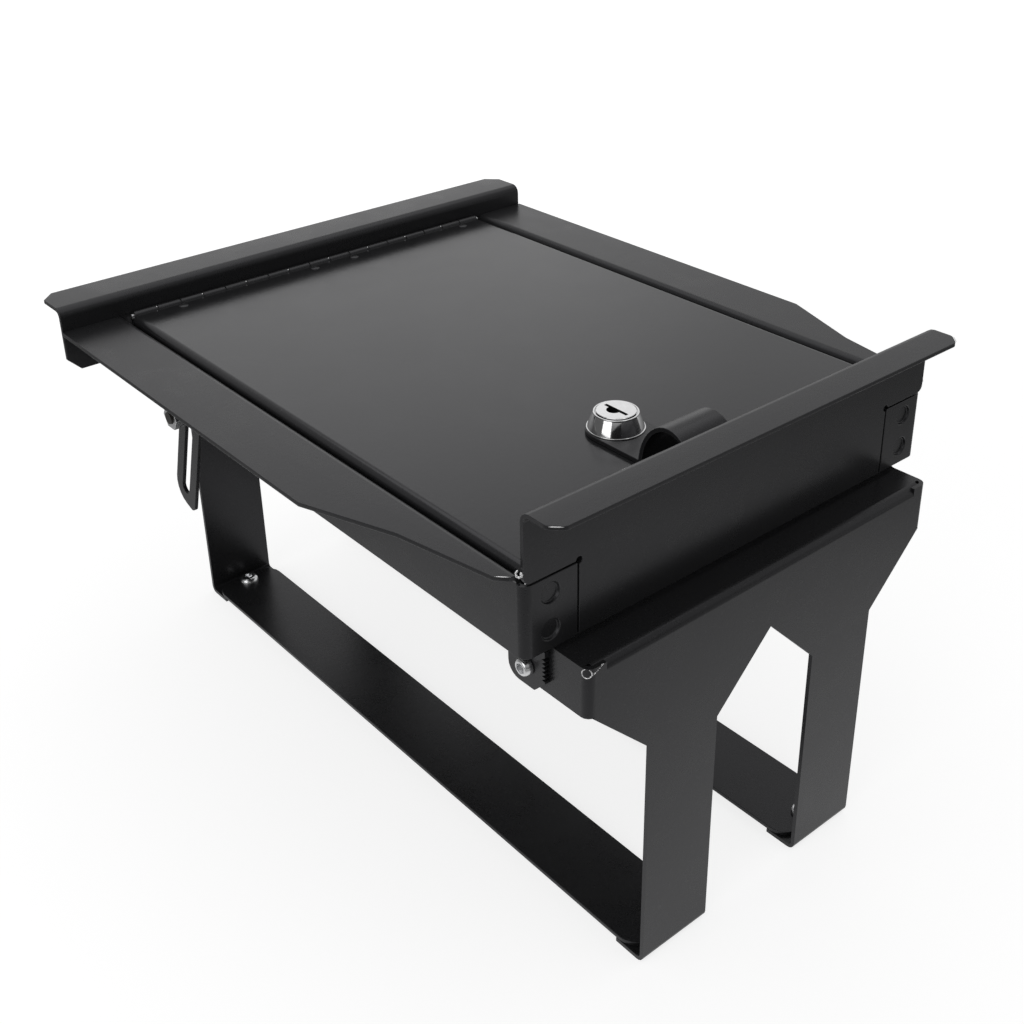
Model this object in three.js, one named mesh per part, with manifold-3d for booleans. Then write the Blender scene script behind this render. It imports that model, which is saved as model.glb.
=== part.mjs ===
// Console safe: an open-bottomed folded-steel tray with a hinged, locking lid, standing on two
// notched leg brackets that are tied together by two floor straps.
// Millimetres, +Z up. X runs across, Y runs from the lock side to the hinge side.
// Origin: middle of the tray in X, front face of the front rail in Y, top face of the wings in Z.
import * as THREE from "three";
import { mergeVertices } from "three/addons/utils/BufferGeometryUtils.js";
import Module from "manifold-3d";

const wasm = await Module();
wasm.setup();

// Sheet metal
const sheet = 1.9;
const bendInside = 1.9;
const bendSteps = 4;
const touchGap = 0.3;
const weldGap = 0.1;

// How far a cutting tool passes the piece that it cuts
const overcut = 1;

// Tray walls and wings
const wallInner = 112;
const trayLength = 308;
const wallDepth = 35;
const wallRearGap = 25;
const wallCornerRadius = 9;
const wingHalfWidth = 144;
const taperStart = 95;
const taperMidY = 53;
const taperMidX = 129;
const wingFrontX = 120.5;
const wingFrontY = 4.5;
const tabLength = 25;
const tabTop = -4.2;
const weldRecess = 5;
const weldRecessDepth = 1.2;
const weldRecessInset = 12.3;
const weldRecessDrops = [11.2, 26.6];

// Front rail
const frontRailHalf = 113.6;
const frontRailHeight = 26.5;
const frontLipReach = 16.3;
const frontLipChamfer = 5;
const frontLipRounding = 4;
const railSeam = 0.8;
const railCornerRadius = 3;
const cornerReliefRadius = 1.5;

// Rear rail
const rearRailHalf = 143.4;
const rearRailHeight = 11.2;
const rearLipReach = 22.4;
const rearRailDrop = 21.5;
const rearRailChamfer = 6.5;
const rearLipChamfer = 6.5;
const railBendInside = 2.6;

// Leg brackets
const ledgeHalf = 99.5;
const ledgeDrop = 36.5;
const frontLedgeReach = 17.2;
const rearLedgeReach = 37;
const skirtBottom = 56;
const notchApex = 64.5;
const notchShoulder = 94;
const legOuter = 67.2;
const legInner = 29.4;
const floorDepth = 203.6;
const footLength = 16;
const sideFlangeLength = 42;
const sideFlangeBottom = 58.5;
const upstandTop = 2.2;
const flangeOverlap = 9;

// Floor straps and their screws
const strapThickness = 2;
const strapEndGap = 3;
const strapCornerRadius = 9;
const screwHeadRadius = 5.5;
const screwHeadHeight = 3.2;
const screwRim = 0.5;
const screwSocketLand = 0.3;
const screwShankRadius = 3;
const screwHoleClearance = 0.4;
const screwFromLegFace = 8.6;
const hexKeySize = 4;
const hexKeyDepth = 1.8;

// Lid
const lidSideGap = 1.7;
const lidFront = 2.6;
const lidFlange = 12;
const lidBendInside = 2;
const lidRearGap = 0.4;

// Piano hinge
const hingeKnuckleRadius = 2.3;
const hingePinRadius = 1.2;
const hingePinClearance = 0.35;
const hingeLeafThickness = 1.2;
const hingeEndGap = 4.05;
const hingeKnuckles = 17;
const knuckleGap = 0.6;
const hingeLidLeafWidth = 16;
const hingeFrameLeafDrop = 18;
const rivetX = [-84, -6.5, 18.5, 93.5];
const rivetRadius = 2.6;
const rivetCrown = 0.7;
const rivetFromAxis = 6.8;
const rivetShankRadius = 1.55;
const rivetTail = 0.9;
const pinOverhang = 1.2;

// Lock
const lockX = -16;
const lockY = 57;
const bezelBaseRadius = 11.4;
const bezelTopRadius = 9.4;
const bezelHeight = 6;
const plugRadius = 7.6;
const plugClearance = 0.3;
const plugRecess = 0.6;
const barrelRadius = 9;
const barrelLength = 19;
const barrelFlat = 7.8;
const barrelHoleClearance = 0.3;
const lockNutAcross = 25;
const lockNutThickness = 4;
const keySlotLength = 8;
const keySlotWidth = 2.2;
const keySlotDepth = 4;
const camThickness = 2.4;
const camLength = 44;
const camHubRadius = 8;
const camTipHalf = 6;
const camScrewRadius = 4.4;
const camScrewHeight = 3;
const camShaftHalf = 3.2;
const camShaftLength = 3;
const camShaftClearance = 0.15;
const camScrewSlotHalf = 0.6;
const camScrewSlotDepth = 1.2;
const plugDishRadius = 4.7;
const plugDishDepth = 0.5;

// Finger pull
const pullHalfWidth = 12.7;
const pullArchY = 16;
const pullArchReach = 15.4;
const pullTop = 21.3;
const pullFront = 3.2;

// Latch keeper
const keeperWidth = 44;
const keeperShelf = 14;
const keeperClearance = 0.6;
const keeperUpLength = 10;
const keeperBendInside = 1.1;

// Toothed clamps
const clampY = 12.9;
const clampZ = -49.2;
const clampFrontReach = 9.7;
const clampRearReach = 11.1;
const clampTopReach = 10.7;
const clampBottomReach = 9.5;
const clampThickness = 2;
const clampCornerRadius = 6;
const clampChamfer = 6;
const toothCount = 6;
const toothPitch = 1.85;
const toothDepth = 1.7;
const clampGap = 0.4;
const clampHeadRadius = 3.9;
const clampNutAcross = 9.5;
const clampNutThickness = 4.5;

// Slotted arms
const armBoltY = 252.5;
const armBoltZ = -33;
const armTilt = 0.325;
const armHalfWidth = 9.4;
const armSlotHalf = 3.4;
const armSlotLength = 52;
const armEndMargin = 10;
const armThickness = 2;
const armTipRadius = 3;
const armTopRadius = 7;
const armHeelRadius = 11;
const earFrontReach = 18;
const earRearReach = 32.5;
const earTop = -14;
const earBelowWall = 5.6;
const earRadius = 5;
const armBoltProud = 7.1;
const armGap = 0.3;
const armNutAcross = 11;
const armNutThickness = 4.6;
const washerRadius = 5.2;
const washerThickness = 1;

// Sizes worked out from the values above
const lidHalfWidth = wallInner - lidSideGap;
const wallOuter = wallInner + sheet;
const tabInner = wallOuter - tabLength;
const armBoltEnd = wallOuter + armBoltProud;
const wallMid = (wallInner + wallOuter) / 2;
const rearWallFront = trayLength + weldGap;
const hingeY = rearWallFront - touchGap - hingeKnuckleRadius;
const hingeZ = -sheet - hingeLeafThickness - weldGap + hingeKnuckleRadius;
const lidRear = hingeY - hingeKnuckleRadius - lidRearGap;
const hingePitch = (2 * (wallInner - hingeEndGap)) / hingeKnuckles;
const hingeStart = hingeEndGap - wallInner;
const upstandFront = sheet + weldGap;
const upstandRear = upstandFront + sheet;
const frontLegFace = -frontLedgeReach;
const rearLegFace = rearWallFront + sheet + rearLedgeReach;
const strapTop = -floorDepth + sheet + strapThickness + weldGap;
const camTop = -sheet - barrelLength - 2 * weldGap;
const keeperZ = camTop + keeperClearance;

const powderCoat = { color: 0x1c1d1f, roughness: 0.5, metalness: 0.25 };
const chrome = { color: 0xd9dadc, roughness: 0.12, metalness: 1 };
const zinc = { color: 0xb9babb, roughness: 0.3, metalness: 1 };
const blackOxide = { color: 0x161616, roughness: 0.45, metalness: 0.7 };

// Solids: closed three.js geometry to a manifold and back

function solid(geometry) {
  const bare = geometry.index ? geometry.toNonIndexed() : geometry.clone();
  const only = new THREE.BufferGeometry().setAttribute("position", bare.getAttribute("position"));
  const merged = mergeVertices(only, 1e-4);
  return new wasm.Manifold(
    new wasm.Mesh({
      numProp: 3,
      vertProperties: merged.attributes.position.array,
      triVerts: new Uint32Array(merged.index.array),
    }),
  );
}

function geometryOf(manifold) {
  const mesh = manifold.getMesh();
  const places = new Float32Array(mesh.numVert * 3);
  for (let i = 0; i < mesh.numVert; i++) {
    places.set(mesh.vertProperties.subarray(i * mesh.numProp, i * mesh.numProp + 3), i * 3);
  }
  const geometry = new THREE.BufferGeometry();
  geometry.setAttribute("position", new THREE.BufferAttribute(places, 3));
  geometry.setIndex(new THREE.BufferAttribute(mesh.triVerts, 1));
  geometry.computeVertexNormals();
  return geometry;
}

function extrude(shape, depth, curveSegments = 6) {
  return new THREE.ExtrudeGeometry(shape, { depth, bevelEnabled: false, curveSegments });
}

// Extrusions along each axis: the shape's own x and y become the two axes named.
function alongZ(shape, z0, z1, curveSegments) {
  return solid(extrude(shape, z1 - z0, curveSegments).translate(0, 0, z0));
}

function alongY(shapeXZ, y0, y1, curveSegments) {
  return solid(extrude(shapeXZ, y1 - y0, curveSegments).rotateX(Math.PI / 2).translate(0, y1, 0));
}

function alongX(shapeYZ, x0, x1, curveSegments) {
  const axes = new THREE.Matrix4().set(0, 0, 1, x0, 1, 0, 0, 0, 0, 1, 0, 0, 0, 0, 0, 1);
  return solid(extrude(shapeYZ, x1 - x0, curveSegments).applyMatrix4(axes));
}

function outline(points) {
  return new THREE.Shape(points.map(([a, b]) => new THREE.Vector2(a, b)));
}

function box(x0, x1, y0, y1, z0, z1) {
  const [lx, hx] = [Math.min(x0, x1), Math.max(x0, x1)];
  const geometry = new THREE.BoxGeometry(hx - lx, y1 - y0, z1 - z0);
  return solid(geometry.translate((lx + hx) / 2, (y0 + y1) / 2, (z0 + z1) / 2));
}

function lathe(points, segments) {
  const profile = points.map(([r, h]) => new THREE.Vector2(r, h));
  return new THREE.LatheGeometry(profile, segments);
}

// Turned pieces: the profile is a list of radius and height, closed on the axis.
function turnedZ(points, x, y, z, segments = 24) {
  return solid(lathe(points, segments).rotateX(Math.PI / 2).translate(x, y, z));
}

function turnedX(points, x, y, z, segments = 20) {
  return solid(lathe(points, segments).rotateZ(-Math.PI / 2).translate(x, y, z));
}

function rod(radius, length) {
  return [[0, 0], [radius, 0], [radius, length], [0, length]];
}

// A closed outline with one radius for each corner: [a, b, radius]
function roundedOutline(corners, steps = 5) {
  const points = [];
  corners.forEach(([a, b, radius], i) => {
    const here = new THREE.Vector2(a, b);
    if (!radius) {
      points.push(here);
      return;
    }
    const [pa, pb] = corners[(i + corners.length - 1) % corners.length];
    const [na, nb] = corners[(i + 1) % corners.length];
    const before = new THREE.Vector2(pa, pb).sub(here).normalize();
    const after = new THREE.Vector2(na, nb).sub(here).normalize();
    const half = Math.acos(THREE.MathUtils.clamp(before.dot(after), -1, 1)) / 2;
    const centre = before.clone().add(after).normalize().multiplyScalar(radius / Math.sin(half)).add(here);
    const from = before.clone().multiplyScalar(radius / Math.tan(half)).add(here).sub(centre);
    const to = after.clone().multiplyScalar(radius / Math.tan(half)).add(here).sub(centre);
    const turn = Math.atan2(from.cross(to), from.dot(to));
    for (let k = 0; k <= steps; k++) {
      points.push(from.clone().rotateAround(new THREE.Vector2(), (turn * k) / steps).add(centre));
    }
  });
  return new THREE.Shape(points);
}

// The section of a folded sheet: a centreline with bends, given half the thickness on each side.
function foldedSection(line, thickness, inside) {
  const radius = inside + thickness / 2;
  const path = [];
  line.forEach(([a, b], i) => {
    const here = new THREE.Vector2(a, b);
    if (i === 0 || i === line.length - 1) {
      const other = new THREE.Vector2(...line[i === 0 ? 1 : i - 1]);
      const along = i === 0 ? other.sub(here) : here.clone().sub(other);
      path.push({ here, along: along.normalize() });
      return;
    }
    const before = here.clone().sub(new THREE.Vector2(...line[i - 1])).normalize();
    const after = new THREE.Vector2(...line[i + 1]).sub(here).normalize();
    const turn = Math.atan2(before.cross(after), before.dot(after));
    const setback = radius * Math.tan(Math.abs(turn) / 2);
    const start = here.clone().addScaledVector(before, -setback);
    const side = new THREE.Vector2(-before.y, before.x).multiplyScalar(Math.sign(turn) * radius);
    const centre = start.clone().add(side);
    for (let k = 0; k <= bendSteps; k++) {
      const angle = (turn * k) / bendSteps;
      const place = start.clone().sub(centre).rotateAround(new THREE.Vector2(), angle).add(centre);
      path.push({ here: place, along: before.clone().rotateAround(new THREE.Vector2(), angle) });
    }
  });
  const offset = (p, d) => p.here.clone().add(new THREE.Vector2(-p.along.y, p.along.x).multiplyScalar(d));
  const left = path.map((p) => offset(p, thickness / 2));
  const right = path.map((p) => offset(p, -thickness / 2)).reverse();
  const shape = new THREE.Shape([...left, ...right]);
  return shape;
}

function mirrorX(manifold) {
  return manifold.mirror([1, 0, 0]);
}

function cylinderX(radius, x0, x1, y, z, segments = 20) {
  return turnedX(rod(radius, x1 - x0), x0, y, z, segments);
}

function cylinderZ(radius, x, y, z0, z1, segments = 24) {
  return turnedZ(rod(radius, z1 - z0), x, y, z0, segments);
}

function hexagon(across, a, b) {
  const radius = across / Math.sqrt(3);
  const points = [];
  for (let k = 0; k < 6; k++) {
    const angle = (k * Math.PI) / 3;
    points.push([a + radius * Math.cos(angle), b + radius * Math.sin(angle)]);
  }
  return outline(points);
}

const group = new THREE.Group();

function addPart(name, manifold, finish) {
  const mesh = new THREE.Mesh(geometryOf(manifold), new THREE.MeshStandardMaterial(finish));
  mesh.name = name;
  group.add(mesh);
}

// Tray side: wall, outward wing with its taper, and the tab folded round the front corner

function traySide() {
  const wingMidZ = -sheet / 2;
  const cornerY = sheet + bendInside;
  const section = foldedSection(
    [[-wallMid, -wallDepth], [-wallMid, wingMidZ], [-wingHalfWidth, wingMidZ]],
    sheet,
    bendInside,
  );
  const planCut = outline([
    [-wingHalfWidth - overcut, -overcut],
    [-wingFrontX + (wingFrontX - wallOuter) * 0.9, -overcut],
    [-wingFrontX + (wingFrontX - wallOuter) * 0.6, cornerY],
    [-wingFrontX, wingFrontY + cornerY],
    [-taperMidX, taperMidY],
    [-wingHalfWidth, taperStart],
    [-wingHalfWidth - overcut, taperStart],
  ]);
  const bottomCorner = roundedOutline([
    [trayLength - wallRearGap, -wallDepth - overcut, 0],
    [trayLength - wallRearGap, -rearRailDrop, 0],
    [trayLength + overcut, -rearRailDrop, 0],
    [trayLength + overcut, -wallDepth - overcut, 0],
  ]);
  const heel = box(
    -wallOuter - overcut, -wallInner + overcut,
    trayLength - wallRearGap - wallCornerRadius, trayLength - wallRearGap + 0.01,
    -wallDepth - overcut, -wallDepth + wallCornerRadius,
  ).subtract(
    cylinderX(
      wallCornerRadius, -wallOuter - 2, -wallInner + 2,
      trayLength - wallRearGap - wallCornerRadius, -wallDepth + wallCornerRadius, 24,
    ),
  );
  const long = alongY(section, cornerY, trayLength)
    .subtract(alongZ(planCut, -sheet - bendInside - 0.2, 1))
    .subtract(alongX(bottomCorner, -wallOuter - overcut, -wallInner + overcut))
    .subtract(heel);
  const corner = foldedSection(
    [[-wallMid, cornerY + overcut], [-wallMid, sheet / 2], [-tabInner, sheet / 2]],
    sheet,
    bendInside,
  );
  let front = alongZ(corner, -wallDepth, tabTop);
  const recessX = -wallOuter + weldRecessInset;
  for (const drop of weldRecessDrops) {
    const cut = solid(
      new THREE.CylinderGeometry(weldRecess, weldRecess * 0.8, weldRecessDepth * 2, 20)
        .rotateX(Math.PI)
        .translate(recessX, 0, -drop),
    );
    front = front.subtract(cut);
  }
  return long.add(front).subtract(wallNotch());
}

// Front rail: plate with a lip folded toward the user, notched round the two corner tabs

function frontRail() {
  const section = foldedSection(
    [
      [sheet / 2, -wallDepth],
      [sheet / 2, frontRailHeight - sheet / 2],
      [-frontLipReach, frontRailHeight - sheet / 2],
    ],
    sheet,
    railBendInside,
  );
  const blank = alongX(section, -frontRailHalf, frontRailHalf);
  const face = roundedOutline([
    [-frontRailHalf, frontRailHeight + overcut, 0],
    [-frontRailHalf, tabTop + railSeam, railCornerRadius],
    [-tabInner + railSeam, tabTop + railSeam, 0],
    [-tabInner + railSeam, -wallDepth - overcut, 0],
    [tabInner - railSeam, -wallDepth - overcut, 0],
    [tabInner - railSeam, tabTop + railSeam, 0],
    [frontRailHalf, tabTop + railSeam, railCornerRadius],
    [frontRailHalf, frontRailHeight + overcut, 0],
  ]);
  const plan = roundedOutline([
    [-frontRailHalf, sheet + overcut, 0],
    [-frontRailHalf, -frontLipReach + frontLipChamfer, frontLipRounding],
    [-frontRailHalf + frontLipChamfer, -frontLipReach - 0.1, frontLipRounding],
    [frontRailHalf - frontLipChamfer, -frontLipReach - 0.1, frontLipRounding],
    [frontRailHalf, -frontLipReach + frontLipChamfer, frontLipRounding],
    [frontRailHalf, sheet + overcut, 0],
  ]);
  let rail = blank
    .intersect(alongY(face, -frontLipReach - overcut, sheet + overcut))
    .intersect(alongZ(plan, -wallDepth - overcut, frontRailHeight + overcut));
  for (const side of [-1, 1]) {
    const relief = cylinderZ(cornerReliefRadius, 0, 0, -1, sheet + 1, 16).rotate([-90, 0, 0]);
    rail = rail.subtract(relief.translate([side * (tabInner - railSeam), 0, tabTop + railSeam]));
  }
  return rail;
}

// Rear rail: a lip folded rearward, with clipped corners above and below

function rearRail() {
  const mid = rearWallFront + sheet / 2;
  const reach = rearWallFront + rearLipReach + sheet;
  const section = foldedSection(
    [[mid, -rearRailDrop], [mid, rearRailHeight - sheet / 2], [reach, rearRailHeight - sheet / 2]],
    sheet,
    railBendInside,
  );
  const blank = alongX(section, -rearRailHalf, rearRailHalf);
  const face = outline([
    [-rearRailHalf, rearRailHeight + overcut],
    [-rearRailHalf, -rearRailDrop + rearRailChamfer],
    [-rearRailHalf + rearRailChamfer, -rearRailDrop - 0.1],
    [rearRailHalf - rearRailChamfer, -rearRailDrop - 0.1],
    [rearRailHalf, -rearRailDrop + rearRailChamfer],
    [rearRailHalf, rearRailHeight + overcut],
  ]);
  const plan = outline([
    [-rearRailHalf, rearWallFront - overcut],
    [-rearRailHalf, reach - rearLipChamfer],
    [-rearRailHalf + rearLipChamfer, reach + 0.1],
    [rearRailHalf - rearLipChamfer, reach + 0.1],
    [rearRailHalf, reach - rearLipChamfer],
    [rearRailHalf, rearWallFront - overcut],
  ]);
  return blank
    .intersect(alongY(face, rearWallFront - overcut, reach + overcut))
    .intersect(alongZ(plan, -rearRailDrop - overcut, rearRailHeight + overcut));
}

// Leg plate outline seen from the front: skirt, sloped shoulders, two legs and a gabled notch

function legOutline(skirtHalf, top) {
  return outline([
    [-skirtHalf, top],
    [-skirtHalf, -skirtBottom],
    [-legOuter, -skirtBottom - (skirtHalf - legOuter)],
    [-legOuter, -floorDepth - overcut],
    [-legInner, -floorDepth - overcut],
    [-legInner, -notchShoulder],
    [0, -notchApex],
    [legInner, -notchShoulder],
    [legInner, -floorDepth - overcut],
    [legOuter, -floorDepth - overcut],
    [legOuter, -skirtBottom - (skirtHalf - legOuter)],
    [skirtHalf, -skirtBottom],
    [skirtHalf, top],
  ]);
}

function strapHoles(y) {
  const drill = screwShankRadius + screwHoleClearance;
  const x = (legOuter + legInner) / 2;
  return [-x, x].map((at) => cylinderZ(drill, at, y, -floorDepth - overcut, strapTop + overcut, 20));
}

function frontScrewY() {
  return frontLegFace + sheet + screwFromLegFace;
}

function rearScrewY() {
  return rearLegFace - sheet - screwFromLegFace;
}

function frontBracket() {
  const ledgeMid = -ledgeDrop - sheet / 2;
  const section = foldedSection(
    [
      [upstandFront + sheet / 2, -upstandTop],
      [upstandFront + sheet / 2, ledgeMid],
      [frontLegFace + sheet / 2, ledgeMid],
      [frontLegFace + sheet / 2, -floorDepth + sheet / 2],
      [frontLegFace + footLength, -floorDepth + sheet / 2],
    ],
    sheet,
    bendInside,
  );
  let bracket = alongX(section, -ledgeHalf, ledgeHalf)
    .intersect(alongY(legOutline(ledgeHalf, 0), frontLegFace - overcut, upstandRear + overcut));
  const flangeRear = frontLegFace + sideFlangeLength;
  for (const side of [-1, 1]) {
    const line = [
      [side * (ledgeHalf - flangeOverlap), frontLegFace + sheet / 2],
      [side * (ledgeHalf - sheet / 2), frontLegFace + sheet / 2],
      [side * (ledgeHalf - sheet / 2), flangeRear],
    ];
    const corner = box(
      side * (ledgeHalf - bendInside - sheet), side * (ledgeHalf + overcut),
      frontLegFace - overcut, frontLegFace + bendInside + sheet, -sideFlangeBottom, -ledgeDrop + overcut,
    );
    const flange = alongZ(foldedSection(line, sheet, bendInside), -sideFlangeBottom, -ledgeDrop);
    bracket = bracket.subtract(corner).add(flange);
    const bolt = cylinderX(screwShankRadius + screwHoleClearance, -2 * sheet, 2 * sheet, clampY, clampZ);
    bracket = bracket.subtract(bolt.translate([side * (ledgeHalf - sheet / 2), 0, 0]));
  }
  for (const hole of strapHoles(frontScrewY())) {
    bracket = bracket.subtract(hole);
  }
  return bracket;
}

function rearBracket() {
  const ledgeMid = -ledgeDrop - sheet / 2;
  const wallRear = rearWallFront + sheet + weldGap;
  const section = foldedSection(
    [
      [wallRear + sheet / 2, -sheet],
      [wallRear + sheet / 2, ledgeMid],
      [rearLegFace - sheet / 2, ledgeMid],
      [rearLegFace - sheet / 2, -floorDepth + sheet / 2],
      [rearLegFace - footLength, -floorDepth + sheet / 2],
    ],
    sheet,
    bendInside,
  );
  let bracket = alongX(section, -legOuter, legOuter)
    .intersect(alongY(legOutline(legOuter, 1), wallRear - overcut, rearLegFace + overcut));
  for (const hole of strapHoles(rearScrewY())) {
    bracket = bracket.subtract(hole);
  }
  return bracket;
}

function floorStrap(side) {
  const front = frontLegFace + sheet + strapEndGap;
  const rear = rearLegFace - sheet - strapEndGap;
  const plan = roundedOutline([
    [side * legInner, front, strapCornerRadius],
    [side * legOuter, front, strapCornerRadius],
    [side * legOuter, rear, strapCornerRadius],
    [side * legInner, rear, strapCornerRadius],
  ]);
  let strap = alongZ(plan, strapTop - strapThickness, strapTop);
  for (const y of [frontScrewY(), rearScrewY()]) {
    for (const hole of strapHoles(y)) {
      strap = strap.subtract(hole);
    }
  }
  return strap;
}

// Button-head screw with a hexagon socket: radius and height from the seat, head upward

function buttonProfile(shankLength, headRadius) {
  const crown = [];
  const crownFlat = hexKeySize / Math.sqrt(3) + screwSocketLand;
  const steps = 5;
  for (let k = 0; k <= steps; k++) {
    const angle = (k / steps) * (Math.PI / 2);
    const radius = crownFlat + (headRadius - crownFlat) * Math.cos(angle);
    crown.push([radius, screwRim + (screwHeadHeight - screwRim) * Math.sin(angle)]);
  }
  return [
    [0, -shankLength],
    [screwShankRadius, -shankLength],
    [screwShankRadius, 0],
    [headRadius, 0],
    ...crown,
    [0, screwHeadHeight],
  ];
}

function socketCut() {
  return alongZ(hexagon(hexKeySize, 0, 0), screwHeadHeight - hexKeyDepth, screwHeadHeight + overcut);
}

function buttonScrew(shankLength, headRadius = screwHeadRadius) {
  return turnedZ(buttonProfile(shankLength, headRadius), 0, 0, 0, 18).subtract(socketCut());
}

function strapScrew(side, y) {
  const length = strapTop + floorDepth - 0.4;
  return buttonScrew(length).translate([(side * (legOuter + legInner)) / 2, y, strapTop]);
}

// Lid: flat pan with its left and right edges folded down

function pullOutline() {
  const shape = new THREE.Shape();
  shape.moveTo(lockX - pullHalfWidth, pullArchY);
  shape.lineTo(lockX + pullHalfWidth, pullArchY);
  shape.lineTo(lockX + pullHalfWidth, lockY);
  shape.absarc(lockX, lockY, pullHalfWidth, 0, Math.PI, false);
  shape.lineTo(lockX - pullHalfWidth, pullArchY);
  return shape;
}

function flattedRod(clearance, z0, z1) {
  const radius = barrelRadius + clearance;
  const flat = barrelFlat + clearance;
  return cylinderZ(radius, lockX, lockY, z0, z1, 28).intersect(
    box(
      lockX - flat, lockX + flat,
      lockY - radius - overcut, lockY + radius + overcut,
      z0 - overcut, z1 + overcut,
    ),
  );
}

function lockHole(z0, z1) {
  return flattedRod(barrelHoleClearance, z0, z1);
}

function lidPan() {
  const edge = lidHalfWidth - sheet / 2;
  const section = foldedSection(
    [[-edge, -lidFlange], [-edge, -sheet / 2], [edge, -sheet / 2], [edge, -lidFlange]],
    sheet,
    lidBendInside,
  );
  let pan = alongY(section, lidFront, lidRear);
  const cornerCut = (side) => box(
    side * (edge - bendInside), side * (lidHalfWidth + overcut),
    lidFront - overcut, upstandRear + lidBendInside,
    -lidFlange - overcut, -sheet - lidBendInside - overcut,
  );
  pan = pan.subtract(cornerCut(-1)).subtract(cornerCut(1));
  for (const x of rivetX) {
    pan = pan.subtract(cylinderZ(rivetShankRadius, x, hingeY - rivetFromAxis, -sheet - overcut, 1, 12));
  }
  return pan.subtract(lockHole(-sheet - overcut, 1));
}

// Piano hinge: interleaved knuckles on two leaves

function knuckle(i) {
  const x0 = hingeStart + i * hingePitch + knuckleGap / 2;
  const length = hingePitch - knuckleGap;
  const bore = hingePinRadius + hingePinClearance;
  return cylinderX(hingeKnuckleRadius, x0, x0 + length, hingeY, hingeZ, 14).subtract(
    cylinderX(bore, x0 - overcut, x0 + length + overcut, hingeY, hingeZ, 14),
  );
}

function knuckleRelief(i) {
  const x0 = hingeStart + i * hingePitch - knuckleGap / 2;
  const clear = hingeKnuckleRadius + touchGap;
  return box(
    x0, x0 + hingePitch + knuckleGap,
    hingeY - clear, hingeY + clear, hingeZ - clear, hingeZ + clear,
  );
}

function hingeLeaf(ownsEven, leaf) {
  let made = leaf.subtract(
    cylinderX(
      hingePinRadius + hingePinClearance,
      hingeStart - overcut, -hingeStart + overcut,
      hingeY, hingeZ, 14,
    ),
  );
  for (let i = 0; i < hingeKnuckles; i++) {
    const own = (i % 2 === 0) === ownsEven;
    made = own ? made.add(knuckle(i)) : made.subtract(knuckleRelief(i));
  }
  return made;
}

function hingeFrameLeaf() {
  const face = hingeY + hingeKnuckleRadius;
  const leaf = box(
    hingeStart + knuckleGap / 2, -hingeStart - knuckleGap / 2,
    face - hingeLeafThickness, face, hingeZ - hingeFrameLeafDrop, hingeZ,
  );
  return hingeLeaf(true, leaf);
}

function hingeLidLeaf() {
  const under = hingeZ - hingeKnuckleRadius;
  const leafHalf = lidHalfWidth - sheet - lidBendInside - touchGap;
  let leaf = box(
    -leafHalf, leafHalf,
    hingeY - hingeLidLeafWidth, hingeY, under, under + hingeLeafThickness,
  );
  leaf = hingeLeaf(false, leaf);
  for (const x of rivetX) {
    const drill = cylinderZ(rivetShankRadius, x, hingeY - rivetFromAxis, under - overcut, under + 3, 12);
    leaf = leaf.subtract(drill);
  }
  return leaf;
}

function hingePin() {
  return cylinderX(hingePinRadius, hingeStart - pinOverhang, -hingeStart + pinOverhang, hingeY, hingeZ, 12);
}

function hingeRivet(x) {
  const grip = sheet + weldGap + hingeLeafThickness;
  const shank = rivetShankRadius - weldGap;
  const profile = [
    [0, -grip - rivetTail],
    [rivetRadius * 0.8, -grip - rivetTail],
    [rivetRadius, -grip - weldGap],
    [shank, -grip - weldGap],
    [shank, weldGap],
    [rivetRadius, weldGap],
    [rivetRadius * 0.75, rivetCrown * 0.8],
    [0, rivetCrown],
  ];
  return turnedZ(profile, x, hingeY - rivetFromAxis, 0, 14);
}

// Finger pull: strap lying on the lid round the lock, curled up into an arch

function archEdge(inset) {
  const steps = 20;
  const points = [];
  for (let k = 0; k <= steps; k++) {
    const angle = (Math.PI * k) / steps;
    points.push([
      pullArchY + (pullArchReach - inset) * Math.cos(angle),
      weldGap + (pullTop - weldGap - inset) * Math.sin(angle),
    ]);
  }
  return points;
}

function fingerPull() {
  const flat = alongZ(pullOutline(), weldGap, sheet + weldGap, 12);
  const innerRear = pullArchY + pullArchReach - sheet;
  const innerFront = pullArchY - pullArchReach + sheet;
  const inner = outline([[innerRear, -overcut], ...archEdge(sheet), [innerFront, -overcut]]);
  const x0 = lockX - pullHalfWidth;
  const x1 = lockX + pullHalfWidth;
  const hump = alongX(outline(archEdge(0)), x0, x1)
    .subtract(alongX(inner, x0 - overcut, x1 + overcut))
    .subtract(box(
      x0 - overcut, x1 + overcut,
      pullFront - pullArchReach, pullFront,
      -overcut, pullTop + overcut,
    ));
  const underArch = box(x0 - overcut, x1 + overcut, 0, innerRear, -overcut, sheet + overcut);
  return flat.subtract(underArch).add(hump).subtract(lockHole(-overcut, sheet + 2));
}

// Lock: bezel and barrel, turning plug, clamp nut, latch cam and its screw

function lockBody() {
  const seat = sheet + 2 * weldGap;
  const bore = plugRadius + plugClearance;
  const bezel = turnedZ(
    [
      [bore, 0],
      [bezelBaseRadius, 0],
      [bezelBaseRadius, 1],
      [bezelTopRadius + 0.4, bezelHeight - 0.9],
      [bezelTopRadius - 0.5, bezelHeight],
      [bore, bezelHeight],
      [bore, 0],
    ],
    lockX, lockY, seat, 36,
  );
  const barrelBottom = -sheet - barrelLength;
  const barrel = flattedRod(0, barrelBottom, seat + 0.5)
    .subtract(cylinderZ(bore, lockX, lockY, barrelBottom - overcut, seat + overcut, 28));
  return bezel.add(barrel);
}

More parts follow.
